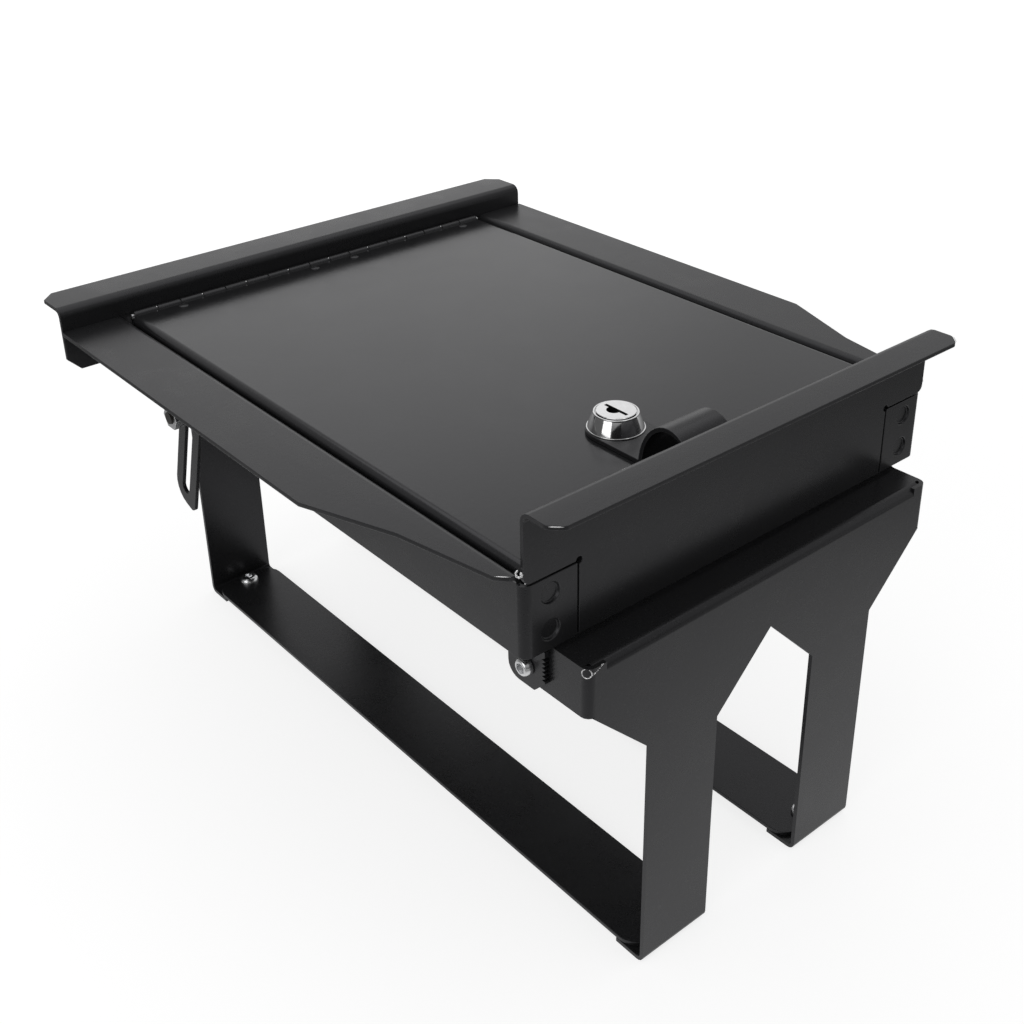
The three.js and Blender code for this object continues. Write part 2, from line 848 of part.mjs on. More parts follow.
function lockPlug() {
  const top = sheet + 2 * weldGap + bezelHeight - plugRecess;
  const bottom = -sheet - barrelLength - weldGap;
  const plug = cylinderZ(plugRadius, lockX, lockY, bottom, top, 28);
  const square = box(
    lockX - camShaftHalf, lockX + camShaftHalf, lockY - camShaftHalf, lockY + camShaftHalf,
    bottom - camShaftLength, bottom + overcut,
  );
  const slot = new THREE.Shape();
  const half = keySlotLength / 2;
  slot.moveTo(-keySlotWidth / 2, -half);
  slot.lineTo(keySlotWidth / 2, -half);
  slot.lineTo(keySlotWidth / 2, half);
  slot.absarc(0, half, keySlotWidth / 2, 0, Math.PI, false);
  slot.lineTo(-keySlotWidth / 2, -half);
  const keyway = alongZ(slot, top - keySlotDepth, top + overcut).translate([lockX, lockY, 0]);
  const dish = cylinderZ(plugDishRadius, lockX, lockY, top - plugDishDepth, top + overcut, 24);
  return plug.add(square).subtract(keyway).subtract(dish);
}

function lockNut() {
  const z1 = -sheet - weldGap;
  const outer = alongZ(hexagon(lockNutAcross, lockX, lockY), z1 - lockNutThickness, z1);
  const z0 = z1 - lockNutThickness;
  const hole = cylinderZ(barrelRadius + touchGap, lockX, lockY, z0 - overcut, z1 + overcut, 28);
  return outer.subtract(hole);
}

function lockCam() {
  const z0 = camTop - camThickness;
  const reach = lockX + camLength;
  const tongue = roundedOutline([
    [lockX, lockY - camHubRadius, 0],
    [reach, lockY - camTipHalf, 3],
    [reach, lockY + camTipHalf, 3],
    [lockX, lockY + camHubRadius, 0],
  ]);
  const hub = cylinderZ(camHubRadius, lockX, lockY, z0, camTop, 24);
  const square = camShaftHalf + camShaftClearance;
  return alongZ(tongue, z0, camTop)
    .add(hub)
    .subtract(box(
      lockX - square, lockX + square,
      lockY - square, lockY + square,
      z0 - overcut, camTop + overcut,
    ));
}

function camScrew() {
  const z1 = -sheet - barrelLength - camShaftLength - 2 * weldGap;
  const z0 = z1 - camScrewHeight;
  const head = cylinderZ(camScrewRadius, lockX, lockY, z0, z1, 20);
  const slot = box(
    lockX - camScrewSlotHalf, lockX + camScrewSlotHalf,
    lockY - camScrewRadius - overcut, lockY + camScrewRadius + overcut,
    z0 - overcut, z0 + camScrewSlotDepth,
  );
  return head.subtract(slot);
}

// Latch keeper: angle on the rear face of the front upstand, shelf above the latch cam

function latchKeeper() {
  const face = upstandRear + weldGap;
  const section = foldedSection(
    [
      [face + sheet / 2, keeperZ + keeperUpLength],
      [face + sheet / 2, keeperZ + sheet / 2],
      [face + keeperShelf, keeperZ + sheet / 2],
    ],
    sheet,
    keeperBendInside,
  );
  return alongX(section, lockX - keeperWidth / 2, lockX + keeperWidth / 2);
}

// Toothed clamp: plate on the outside of the side flange, teeth toward the front

function clampPlate() {
  const x1 = -ledgeHalf - clampGap;
  const front = clampY - clampFrontReach;
  const rear = clampY + clampRearReach;
  const top = clampZ + clampTopReach;
  const bottom = clampZ - clampBottomReach;
  const body = roundedOutline([
    [front, bottom + clampChamfer, 1],
    [front + clampChamfer, bottom, 1.5],
    [rear, bottom, clampCornerRadius],
    [rear, top, 2],
    [front, top, 0],
  ]);
  let plate = alongX(body, x1 - clampThickness, x1);
  for (let k = 0; k < toothCount; k++) {
    const z = bottom + clampChamfer + toothPitch * (k + 1.5);
    const gullet = outline([
      [front - 0.5, z],
      [front + toothDepth, z - toothPitch * 0.85],
      [front - 0.5, z - toothPitch],
    ]);
    plate = plate.subtract(alongX(gullet, x1 - clampThickness - overcut, x1 + overcut));
  }
  const drill = cylinderX(
    screwShankRadius + screwHoleClearance,
    x1 - clampThickness - overcut, x1 + overcut,
    clampY, clampZ,
  );
  return plate.subtract(drill);
}

function clampBolt() {
  const shank = clampThickness + clampGap * 2 + sheet + clampNutThickness + 1.5;
  return buttonScrew(shank, clampHeadRadius)
    .rotate([0, -90, 0])
    .translate([-ledgeHalf - clampGap * 2 - clampThickness, clampY, clampZ]);
}

function clampNut() {
  const x0 = -ledgeHalf + sheet + touchGap;
  return alongX(hexagon(clampNutAcross, clampY, clampZ), x0, x0 + clampNutThickness).subtract(
    cylinderX(screwShankRadius + touchGap, x0 - overcut, x0 + clampNutThickness + overcut, clampY, clampZ),
  );
}

// Slotted arm on its ear: the bolt passes the arm's slot, the ear, a notch in the wall, a
// washer and a hexagon nut

function wallNotch() {
  const clear = screwShankRadius + screwHoleClearance;
  const x0 = -wallOuter - overcut;
  const x1 = -wallInner + weldGap / 2;
  return cylinderX(clear, x0, x1, armBoltY, armBoltZ).add(
    box(x0, x1, armBoltY - clear, armBoltY + clear, -wallDepth - overcut, armBoltZ),
  );
}

function ear() {
  const x0 = -wallInner + weldGap;
  const bottom = -wallDepth - earBelowWall;
  const shape = roundedOutline([
    [armBoltY - earFrontReach, bottom, earRadius],
    [armBoltY + earRearReach, bottom, earRadius],
    [armBoltY + earRearReach, earTop, earRadius],
    [armBoltY - earFrontReach, earTop, earRadius],
  ]);
  return alongX(shape, x0, x0 + sheet).subtract(
    cylinderX(screwShankRadius + screwHoleClearance, x0 - overcut, x0 + sheet + overcut, armBoltY, armBoltZ),
  );
}

function armInnerX() {
  return -wallInner + weldGap + sheet + armGap;
}

function slottedArm() {
  const top = armEndMargin;
  const bottom = -armSlotLength - armEndMargin;
  const body = roundedOutline([
    [-armHalfWidth, bottom, armTipRadius],
    [armHalfWidth, bottom, armHeelRadius],
    [armHalfWidth, top, armTopRadius],
    [-armHalfWidth, top, armTopRadius],
  ]);
  const slot = new THREE.Path();
  slot.absarc(0, 0, armSlotHalf, 0, Math.PI, false);
  slot.absarc(0, -armSlotLength, armSlotHalf, Math.PI, 2 * Math.PI, false);
  slot.closePath();
  body.holes.push(slot);
  const x0 = armInnerX();
  return alongX(body, x0, x0 + armThickness, 8)
    .rotate([(armTilt * 180) / Math.PI, 0, 0])
    .translate([0, armBoltY, armBoltZ]);
}

function armBolt() {
  const seat = armInnerX() + armThickness + armGap;
  return buttonScrew(armBoltEnd + seat)
    .rotate([0, 90, 0])
    .translate([seat, armBoltY, armBoltZ]);
}

// A plate with a clearance hole for the bolt, from its outer end to its seat
function onArmBolt(plate, x0, x1) {
  return plate.subtract(
    cylinderX(screwShankRadius + touchGap, x0 - overcut, x1 + overcut, armBoltY, armBoltZ),
  );
}

function armSleeve() {
  const x1 = -wallOuter - armGap;
  const x0 = x1 - washerThickness;
  return onArmBolt(cylinderX(washerRadius, x0, x1, armBoltY, armBoltZ), x0, x1);
}

function armNut() {
  const x1 = -wallOuter - 2 * armGap - washerThickness;
  const x0 = x1 - armNutThickness;
  return onArmBolt(alongX(hexagon(armNutAcross, armBoltY, armBoltZ), x0, x1), x0, x1);
}

// Assembly

function addPair(name, manifold, finish) {
  addPart(name + "_left", manifold, finish);
  addPart(name + "_right", mirrorX(manifold), finish);
}

addPair("tray_side", traySide(), powderCoat);
addPart("front_rail", frontRail(), powderCoat);
addPart("rear_rail", rearRail(), powderCoat);
addPart("front_leg_bracket", frontBracket(), powderCoat);
addPart("rear_leg_bracket", rearBracket(), powderCoat);
addPair("floor_strap", floorStrap(-1), powderCoat);
addPair("strap_screw_front", strapScrew(-1, frontScrewY()), zinc);
addPair("strap_screw_rear", strapScrew(-1, rearScrewY()), zinc);
addPart("latch_keeper", latchKeeper(), powderCoat);
addPart("lid_pan", lidPan(), powderCoat);
addPart("hinge_frame_leaf", hingeFrameLeaf(), powderCoat);
addPart("hinge_lid_leaf", hingeLidLeaf(), powderCoat);
addPart("hinge_pin", hingePin(), zinc);
rivetX.forEach((x, i) => addPart("hinge_rivet_" + (i + 1), hingeRivet(x), powderCoat));
addPart("finger_pull", fingerPull(), powderCoat);
addPart("lock_body", lockBody(), chrome);
addPart("lock_plug", lockPlug(), chrome);
addPart("lock_nut", lockNut(), zinc);
addPart("lock_cam", lockCam(), zinc);
addPart("cam_screw", camScrew(), zinc);
addPair("clamp_plate", clampPlate(), powderCoat);
addPair("clamp_bolt", clampBolt(), chrome);
addPair("clamp_nut", clampNut(), zinc);
addPair("arm_ear", ear(), powderCoat);
addPair("slotted_arm", slottedArm(), powderCoat);
addPair("arm_bolt", armBolt(), blackOxide);
addPair("arm_sleeve", armSleeve(), zinc);
addPair("arm_nut", armNut(), chrome);

export default group;
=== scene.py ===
import logging
import math
from dataclasses import dataclass, field
from enum import Enum
from typing import Callable, Sequence

import bmesh
import bpy
from mathutils import Matrix, Vector


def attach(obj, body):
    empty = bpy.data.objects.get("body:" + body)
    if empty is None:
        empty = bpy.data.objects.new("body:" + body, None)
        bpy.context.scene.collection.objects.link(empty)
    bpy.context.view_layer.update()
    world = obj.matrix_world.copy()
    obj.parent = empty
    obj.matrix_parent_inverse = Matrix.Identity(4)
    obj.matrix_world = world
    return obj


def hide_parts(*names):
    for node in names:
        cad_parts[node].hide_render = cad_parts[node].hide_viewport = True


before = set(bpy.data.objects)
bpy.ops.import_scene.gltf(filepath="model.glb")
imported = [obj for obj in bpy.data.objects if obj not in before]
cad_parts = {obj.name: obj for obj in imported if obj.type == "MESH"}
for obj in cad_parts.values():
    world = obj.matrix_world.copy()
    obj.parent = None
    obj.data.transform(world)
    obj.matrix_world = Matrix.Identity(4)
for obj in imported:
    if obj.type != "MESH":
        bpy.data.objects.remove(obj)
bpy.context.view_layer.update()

Pair = tuple[float, float]
Triple = tuple[float, float, float]
Stops = tuple[Pair, ...]

LOG = logging.getLogger("console_safe")
MM = 0.001
FULL_TURN = 2.0 * math.pi
ROUND_STEPS = 96
NOISE_MIDDLE = 0.5
WHITE = (1.0, 1.0, 1.0, 1.0)
UPWARD = (0.0, 0.0, 1.0)

SECOND_FINISH = 1

# How the CAD meshes are cleaned, and which of their edges are broken
JOIN_REACH = 0.002 * MM
FLAT_TURN = math.radians(0.6)
EDGE_TURN = math.radians(36.0)
FLAT_WEIGHT = 100


class Side(Enum):
    """The two sides of the safe, with the sign of their X."""

    LEFT = -1.0
    RIGHT = 1.0

    @property
    def word(self) -> str:
        """The side's name as the frame's nodes spell it."""
        return self.name.lower()


class Operation(Enum):
    """Operations of the Math and Vector Math nodes."""

    ADD = "ADD"
    SUBTRACT = "SUBTRACT"
    MULTIPLY = "MULTIPLY"
    MAXIMUM = "MAXIMUM"
    LENGTH = "LENGTH"
    DISTANCE = "DISTANCE"
    DOT_PRODUCT = "DOT_PRODUCT"


class Slot(Enum):
    """Material slots of the record."""

    POWDER = "powder_coat"
    LID = "lid_coat"
    HINGE = "hinge_coat"
    PIN = "hinge_steel"
    CHROME = "lock_chrome"
    SCREW = "zinc_screw"
    ZINC = "zinc_plate"
    OXIDE = "black_oxide"


@dataclass(frozen=True)
class Pattern:
    """Numbers of one fractal noise.

    Args:
        scale: Cells for each metre.
        detail: Octaves.
        rough: How strong the finer octaves are.
        drift: Distortion of the pattern.
    """

    scale: float
    detail: float = 2.0
    rough: float = 0.5
    drift: float = 0.0


class Socket:
    """A node's output that can be used in Python arithmetic."""

    def __init__(self, nodes: "Nodes", link: bpy.types.NodeSocket | None) -> None:
        """Keeps the builder of the tree, and the output if the node has one."""
        self.nodes = nodes
        self.link = link

    def _math(self, operation: Operation, *values: "Socket | float") -> "Socket":
        """The result of one Math node on the values, in order."""
        return self.nodes.add("ShaderNodeMath", {"operation": operation}, dict(enumerate(values)))

    def __add__(self, other: "Socket | float") -> "Socket":
        """self + other"""
        return self._math(Operation.ADD, self, other)

    def __radd__(self, other: float) -> "Socket":
        """other + self"""
        return self._math(Operation.ADD, other, self)

    def __sub__(self, other: "Socket | float") -> "Socket":
        """self - other"""
        return self._math(Operation.SUBTRACT, self, other)

    def __rsub__(self, other: float) -> "Socket":
        """other - self"""
        return self._math(Operation.SUBTRACT, other, self)

    def __mul__(self, other: "Socket | float") -> "Socket":
        """self * other"""
        return self._math(Operation.MULTIPLY, self, other)

    def __rmul__(self, other: float) -> "Socket":
        """other * self"""
        return self._math(Operation.MULTIPLY, other, self)

    def or_more(self, other: "Socket | float") -> "Socket":
        """The larger of the two."""
        return self._math(Operation.MAXIMUM, self, other)

    def unsigned(self) -> "Socket":
        """The value, from -1 to 1, moved to 0 to 1."""
        return self * 0.5 + 0.5

    def clamped(self) -> "Socket":
        """The value held between 0 and 1."""
        return self.nodes.add("ShaderNodeClamp", {}, {"Value": self, "Min": 0.0, "Max": 1.0})


class Nodes:
    """Builds the node tree of one material or world."""

    def __init__(self, tree: bpy.types.NodeTree) -> None:
        """Takes the tree that it fills, and clears it."""
        self.tree = tree
        tree.nodes.clear()

    def add(
        self,
        kind: str,
        settings: dict[str, object],
        inputs: dict[object, object],
        output: object = 0,
    ) -> Socket:
        """Adds a node of any type.

        Args:
            kind: The node's type.
            settings: Its own properties, which are set first. "stops" fills a colour ramp.
            inputs: Values or links of its sockets, by name or number.
            output: The name or number of the output that is returned.

        Returns:
            The chosen output.
        """
        node = self.tree.nodes.new(kind)
        for name, value in settings.items():
            if name == "stops":
                self._fill_ramp(node.color_ramp, value)
            else:
                setattr(node, name, value.value if isinstance(value, Enum) else value)
        for name, value in inputs.items():
            if isinstance(value, Socket):
                self.tree.links.new(value.link, node.inputs[name])
            else:
                node.inputs[name].default_value = value
        return Socket(self, node.outputs[output] if node.outputs else None)

    @staticmethod
    def _fill_ramp(ramp: bpy.types.ColorRamp, stops: Stops) -> None:
        """Gives a ramp its stops.

        Args:
            ramp: The ramp.
            stops: The place and the grey value of each stop.
        """
        while len(ramp.elements) < len(stops):
            ramp.elements.new(1.0)
        for element, (place, grey) in zip(ramp.elements, stops):
            element.position = place
            element.color = (grey, grey, grey, 1.0)

    def place(self) -> Socket:
        """The point on the surface in its own object's frame, in metres."""
        return self.add("ShaderNodeTexCoord", {}, {}, "Object")

    def noise(self, at: Socket, pattern: Pattern) -> Socket:
        """Fractal noise.

        Args:
            at: The point it is read at.
            pattern: Its numbers.

        Returns:
            A value from 0 to 1 about the middle.
        """
        inputs = {
            "Vector": at,
            "Scale": pattern.scale,
            "Detail": pattern.detail,
            "Roughness": pattern.rough,
            "Distortion": pattern.drift,
        }
        return self.add("ShaderNodeTexNoise", {}, inputs, "Fac")

    def vector(
        self, operation: Operation, inputs: dict[object, object], output: str = "Value"
    ) -> Socket:
        """The chosen output of one Vector Math node on the vectors, by number."""
        return self.add("ShaderNodeVectorMath", {"operation": operation}, inputs, output)

    def ramp(self, value: Socket, stops: Stops) -> Socket:
        """A value read off a ramp of grey stops."""
        colour = self.add("ShaderNodeValToRGB", {"stops": stops}, {"Fac": value}, "Color")
        return self.add("ShaderNodeRGBToBW", {}, {"Color": colour})

    def mix_colour(
        self,
        factor: Socket | float,
        first: Socket | Sequence[float],
        second: Socket | Sequence[float],
    ) -> Socket:
        """Two colours mixed.

        Args:
            factor: Share of the second colour.
            first: The colour at 0.
            second: The colour at 1.

        Returns:
            The mixed colour.
        """
        settings = {"data_type": "RGBA", "blend_type": "MIX"}
        return self.add("ShaderNodeMix", settings, {0: factor, 6: first, 7: second}, 2)

    def bump(self, height: Socket, depth: float, under: Socket | None = None) -> Socket:
        """A bumped normal.

        Args:
            height: The height, from 0 to 1.
            depth: What a height of 1 is, in metres.
            under: The bumped normal that it lies on, if there is one.

        Returns:
            The normal.
        """
        inputs = {"Strength": 1.0, "Distance": depth, "Height": height}
        if under is not None:
            inputs["Normal"] = under
        return self.add("ShaderNodeBump", {}, inputs, "Normal")

    def surface(self, inputs: dict[object, object]) -> None:
        """Adds the shader with its inputs, and the output."""
        shader = self.add("ShaderNodeBsdfPrincipled", {}, inputs, "BSDF")
        self.add("ShaderNodeOutputMaterial", {}, {"Surface": shader})


def rgba(colour: Sequence[float]) -> tuple[float, float, float, float]:
    """A colour of three numbers as one of four, with an alpha of 1."""
    return (colour[0], colour[1], colour[2], 1.0)


def new_material(name: str) -> tuple[bpy.types.Material, Nodes]:
    """An empty material and the builder of its tree.

    Args:
        name: The material's name.

    Returns:
        The material and the builder.
    """
    material = bpy.data.materials.new(name)
    material.use_nodes = True
    return material, Nodes(material.node_tree)


@dataclass(frozen=True)
class PowderCoat:
    """Satin black powder coat with a fine grain on a faint orange peel.

    Args:
        name: The material's name.
        colour: Base colour.
        roughness: Roughness in the middle of its range.
        grain_depth: Depth of the fine grain, in metres.
        peel_depth: Depth of the orange peel, in metres.
        rub: How much paler the rubbed patches are.
        lift: What a rubbed patch gains on top of that.
        ior: Refractive index of the coat, which sets how strongly it mirrors.
        tint: Colour of what it mirrors.
        speck_colour: Colour of the specks of dust in the coat.
        speck_share: How strongly the specks show.
        speck_stops: Where a speck begins and ends in its noise.
        wear_stops: Where a polished patch begins and ends in its noise.
        clouds: Noise of the rubbed patches.
        grain: Noise of the grain.
        peel: Noise of the orange peel.
        specks: Noise of the specks.
        wear: Noise of the polished patches.
        cloud_gloss: How far the rubbed patches move the roughness.
        grain_gloss: How far the grain moves it.
        wear_gloss: How far the polished patches lower it.
    """

    name: str
    colour: Triple = (0.0105, 0.0106, 0.0112)
    roughness: float = 0.3
    grain_depth: float = 0.000014
    peel_depth: float = 0.00002
    rub: float = 0.25
    lift: float = 0.002
    ior: float = 1.45
    tint: Triple = (0.955, 0.95, 1.0)
    speck_colour: Triple = (0.035, 0.035, 0.036)
    speck_share: float = 0.5
    speck_stops: Stops = ((0.66, 0.0), (0.74, 1.0))
    wear_stops: Stops = ((0.45, 0.0), (0.75, 1.0))
    clouds: Pattern = Pattern(11.0, 3.0, 0.55, 0.4)
    grain: Pattern = Pattern(1500.0, 3.0, 0.6)
    peel: Pattern = Pattern(420.0)
    specks: Pattern = Pattern(900.0, 1.0)
    wear: Pattern = Pattern(38.0, 4.0, 0.65, 0.8)
    cloud_gloss: float = 0.10
    grain_gloss: float = 0.16
    wear_gloss: float = 0.05

    def build(self) -> bpy.types.Material:
        """Makes the finish.

        Returns:
            Its material.
        """
        material, nodes = new_material(self.name)
        at = nodes.place()
        clouds = nodes.noise(at, self.clouds)
        grain = nodes.noise(at, self.grain)
        peel = nodes.noise(at, self.peel)
        speck = nodes.ramp(nodes.noise(at, self.specks), self.speck_stops)
        wear = nodes.ramp(nodes.noise(at, self.wear), self.wear_stops)
        pale = tuple(c * (1.0 + self.rub) + self.lift for c in self.colour)
        base = nodes.mix_colour(clouds, rgba(self.colour), rgba(pale))
        roughness = (
            self.roughness
            + (clouds - NOISE_MIDDLE) * self.cloud_gloss
            + (grain - NOISE_MIDDLE) * self.grain_gloss
            - wear * self.wear_gloss
        )
        fine = nodes.bump(grain, self.grain_depth)
        nodes.surface(
            {
                "Base Color": nodes.mix_colour(
                    speck * self.speck_share, base, rgba(self.speck_colour)
                ),
                "Roughness": roughness.clamped(),
                "Normal": nodes.bump(peel, self.peel_depth, fine),
                "IOR": self.ior,
                "Specular Tint": rgba(self.tint),
            }
        )
        return material


@dataclass(frozen=True)
class Plating:
    """Bright metal plate: chrome or zinc, with a drift in its gloss and fine scratches.

    Args:
        name: The material's name.
        colour: Base colour.
        roughness: Roughness of the clean plate.
        spread: How far the roughness wanders.
        scratch: Depth of the scratches, in metres.
        stretch: Stretch of the scratch pattern along X, Y and Z.
        dull: Brightness of a dull blotch, as a share of the base colour.
        blotch_share: How strongly the blotches show.
        hair_share: How far the scratches move the roughness, as a share of its spread.
        blotches: Noise of the blotches.
        hairs: Noise of the scratches.
    """

    name: str
    colour: Triple
    roughness: float
    spread: float
    scratch: float
    stretch: Triple = (1.0, 1.0, 1.0)
    dull: float = 0.72
    blotch_share: float = 0.6
    hair_share: float = 0.5
    blotches: Pattern = Pattern(260.0, 3.0, 0.6, 0.5)
    hairs: Pattern = Pattern(2600.0, 3.0, 0.65)

    def build(self) -> bpy.types.Material:
        """Makes the finish.

        Returns:
            Its material.
        """
        material, nodes = new_material(self.name)
        at = nodes.place()
        drawn = nodes.vector(Operation.MULTIPLY, {0: at, 1: self.stretch}, "Vector")
        blotch = nodes.noise(at, self.blotches)
        hair = nodes.noise(drawn, self.hairs)
        dull = tuple(c * self.dull for c in self.colour)
        roughness = self.roughness + blotch * self.spread + hair * self.spread * self.hair_share
        nodes.surface(
            {
                "Base Color": nodes.mix_colour(
                    blotch * self.blotch_share, rgba(self.colour), rgba(dull)
                ),
                "Metallic": 1.0,
                "Roughness": roughness.clamped(),
                "Normal": nodes.bump(hair, self.scratch),
            }
        )
        return material


@dataclass(frozen=True)
class BlackOxide:
    """Dark oxidised steel with a slight brown bloom and an oily gloss.

    Args:
        name: The material's name.
        colour: Base colour.
        bloom: Colour of the bloom.
        metallic: How much of it mirrors as bare metal.
        roughness: Roughness outside the bloom.
        spread: How much rougher the bloom is.
        depth: Depth of the grain, in metres.
        patches: Noise of the bloom.
        grain: Noise of the grain.
    """

    name: str
    colour: Triple = (0.03, 0.03, 0.031)
    bloom: Triple = (0.055, 0.048, 0.042)
    metallic: float = 0.7
    roughness: float = 0.3
    spread: float = 0.18
    depth: float = 0.00002
    patches: Pattern = Pattern(420.0, 3.0, 0.6, 0.3)
    grain: Pattern = Pattern(3200.0)

    def build(self) -> bpy.types.Material:
        """Makes the finish.

        Returns:
            Its material.
        """
        material, nodes = new_material(self.name)
        at = nodes.place()
        patch = nodes.noise(at, self.patches)
        grain = nodes.noise(at, self.grain)
        nodes.surface(
            {
                "Base Color": nodes.mix_colour(patch, rgba(self.colour), rgba(self.bloom)),
                "Metallic": self.metallic,
                "Roughness": (self.roughness + patch * self.spread).clamped(),
                "Normal": nodes.bump(grain, self.depth),
            }
        )
        return material


@dataclass
class Paintshop:
    """Every finish of the safe, built once."""

    made: dict[Slot, bpy.types.Material] = field(default_factory=dict)
    edge: bpy.types.Material | None = None
    weld: bpy.types.Material | None = None
    bore: bpy.types.Material | None = None

    def build(self) -> None:
        """Builds the material of each slot, and those of edges (lighter, partly a painted
        highlight), of welds and painted glints, and of the keyway's painted shade.
        """
        finishes = {
            Slot.POWDER: PowderCoat("powder coat"),
            Slot.LID: PowderCoat("powder coat on the lid", roughness=0.19, ior=1.5),
            Slot.HINGE: PowderCoat(
                "powder coat on the hinge",
                colour=(0.011, 0.011, 0.0115),
                roughness=0.28,
                rub=0.5,
            ),
            Slot.PIN: Plating("drawn wire", (0.55, 0.55, 0.56), 0.3, 0.12, 0.00001),
            Slot.CHROME: Plating("chrome plate", (0.93, 0.93, 0.935), 0.03, 0.07, 0.000005),
            Slot.SCREW: Plating("bright zinc", (0.86, 0.865, 0.875), 0.12, 0.12, 0.00001),
            Slot.ZINC: Plating(
                "zinc plate", (0.62, 0.625, 0.64), 0.26, 0.16, 0.00002, (1.0, 0.15, 1.0)
            ),
            Slot.OXIDE: BlackOxide("black oxide"),
        }
        self.made = {slot: finish.build() for slot, finish in finishes.items()}
        # cut-edge coat: thinner, and lighter than the main coat as a painted highlight on the
        # broken edges
        self.edge = PowderCoat(
            "powder coat on cut edges",
            colour=(0.02, 0.02, 0.021),
            roughness=0.26,
            grain_depth=0.00001,
            peel_depth=0.00001,
            rub=0.6,
        ).build()
        # bright bare metal for the welds, partly a painted highlight, and for the painted glint
        # lines and specks
        self.weld = Plating("weld bead and painted glint", (0.97, 0.97, 0.975), 0.16, 0.16, 0.00003).build()
        # dark material for the keyway: painted shade in the recess
        self.bore = BlackOxide("keyway", (0.02, 0.02, 0.02), (0.035, 0.034, 0.033)).build()

    def of(self, slot: Slot) -> bpy.types.Material:
        """The material of a record slot."""
        return self.made[slot]


SHOP = Paintshop()


@dataclass(frozen=True)
class EdgeBreak:
    """How the sharp edges of a CAD piece are broken before it is coated.

    Args:
        width: Width of the broken edge, in metres.
        segments: Facets across it.
        coat: Whether the broken edge gets the thinner coat of a cut edge, which is also lighter
            as a painted highlight.
    """

    width: float
    segments: int = 2
    coat: bool = True


SHEET_EDGE = EdgeBreak(0.28 * MM)
SMALL_EDGE = EdgeBreak(0.15 * MM)
METAL_EDGE = EdgeBreak(0.12 * MM, coat=False)


def smooth_shade(mesh: bpy.types.Mesh) -> None:
    """Shades every face smooth and drops normals that came with the file.

    Args:
        mesh: The mesh whose faces are shaded.
    """
    if "custom_normal" in mesh.attributes:
        mesh.attributes.remove(mesh.attributes["custom_normal"])
    mesh.polygons.foreach_set("use_smooth", [True] * len(mesh.polygons))


def weigh_normals(piece: bpy.types.Object) -> None:
    """Lets the large flat faces keep their own normal.

    Args:
        piece: The piece that gets the modifier.
    """
    weighted = piece.modifiers.new("large faces first", "WEIGHTED_NORMAL")
    weighted.mode = "FACE_AREA"
    weighted.weight = FLAT_WEIGHT
    weighted.keep_sharp = False


def dress(node: str, slot: Slot, edge: EdgeBreak) -> None:
    """Finishes one CAD node: coat, broken edges and clean shading.

    Args:
        node: The node's name.
        slot: The record slot its coat comes from.
        edge: How its edges are broken.
    """
    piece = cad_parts[node]
    smooth_shade(piece.data)
    piece.data.materials.clear()
    piece.data.materials.append(SHOP.of(slot))
    # the broken edges get the lighter cut-edge coat, partly a painted highlight
    if edge.coat:
        piece.data.materials.append(SHOP.edge)
    join = piece.modifiers.new("join corners", "WELD")
    join.merge_threshold = JOIN_REACH
    flat = piece.modifiers.new("one face for each flat", "DECIMATE")
    flat.decimate_type = "DISSOLVE"
    flat.angle_limit = FLAT_TURN
    bevel = piece.modifiers.new("broken edges", "BEVEL")
    bevel.width = edge.width
    bevel.segments = edge.segments
    bevel.limit_method = "ANGLE"
    bevel.angle_limit = EDGE_TURN
    bevel.miter_outer = "MITER_ARC"
    if edge.coat:
        bevel.material = SECOND_FINISH
    weigh_normals(piece)
    LOG.info("%s dressed in %s", node, slot.value)


def new_piece(
    name: str, shape: bmesh.types.BMesh, material: bpy.types.Material, body: str
) -> bpy.types.Object:
    """Turns a finished bmesh into a piece that rides on a body.

    Args:
        name: The piece's name.
        shape: The mesh, which is freed.
        material: Its material.
        body: The CAD body that carries it.

    Returns:
        The new object.
    """
    bmesh.ops.recalc_face_normals(shape, faces=shape.faces)
    mesh = bpy.data.meshes.new(name)
    shape.to_mesh(mesh)
    shape.free()
    mesh.materials.append(material)
    smooth_shade(mesh)
    piece = bpy.data.objects.new(name, mesh)
    bpy.context.scene.collection.objects.link(piece)
    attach(piece, body)
    LOG.info("%s made with %d faces", name, len(mesh.polygons))
    return piece


def circle(radius: float, steps: int = ROUND_STEPS) -> list[Pair]:
    """Points round a circle.

    Args:
        radius: Its radius.
        steps: How many points there are.

    Returns:
        The points, in order.
    """
    turns = [FULL_TURN * k / steps for k in range(steps)]
    return [(radius * math.cos(turn), radius * math.sin(turn)) for turn in turns]


def loop_of(
    shape: bmesh.types.BMesh, points: Sequence[Pair], height: float, centre: Triple
) -> list[bmesh.types.BMVert]:
    """A level ring of vertices.

    Args:
        shape: The mesh that gets them.
        points: Their places about the centre, in millimetres.
        height: Their height over it.
        centre: The centre.

    Returns:
        The vertices, in order.
    """
    x0, y0, z0 = centre
    return [shape.verts.new(Vector((x0 + x, y0 + y, z0 + height)) * MM) for x, y in points]


def band(
    shape: bmesh.types.BMesh,
    low: Sequence[bmesh.types.BMVert],
    high: Sequence[bmesh.types.BMVert],
) -> None:
    """Joins two rings of the same length by a band of faces.

    Args:
        shape: The mesh.
        low: The first ring.
        high: The second ring.
    """
    for k in range(len(low)):
        after = (k + 1) % len(low)
        shape.faces.new((low[k], low[after], high[after], high[k]))


def turned(profile: Sequence[Pair], centre: Triple) -> bmesh.types.BMesh:
    """A turned ring or solid on an upright axis.

    Args:
        profile: Radius and height, in millimetres, closed on itself.
        centre: The axis's foot, in millimetres.

    Returns:
        The closed mesh.
    """
    shape = bmesh.new()
    rings = [loop_of(shape, circle(radius), height, centre) for radius, height in profile]
    for low, high in zip(rings, rings[1:] + rings[:1]):
        band(shape, low, high)
    return shape


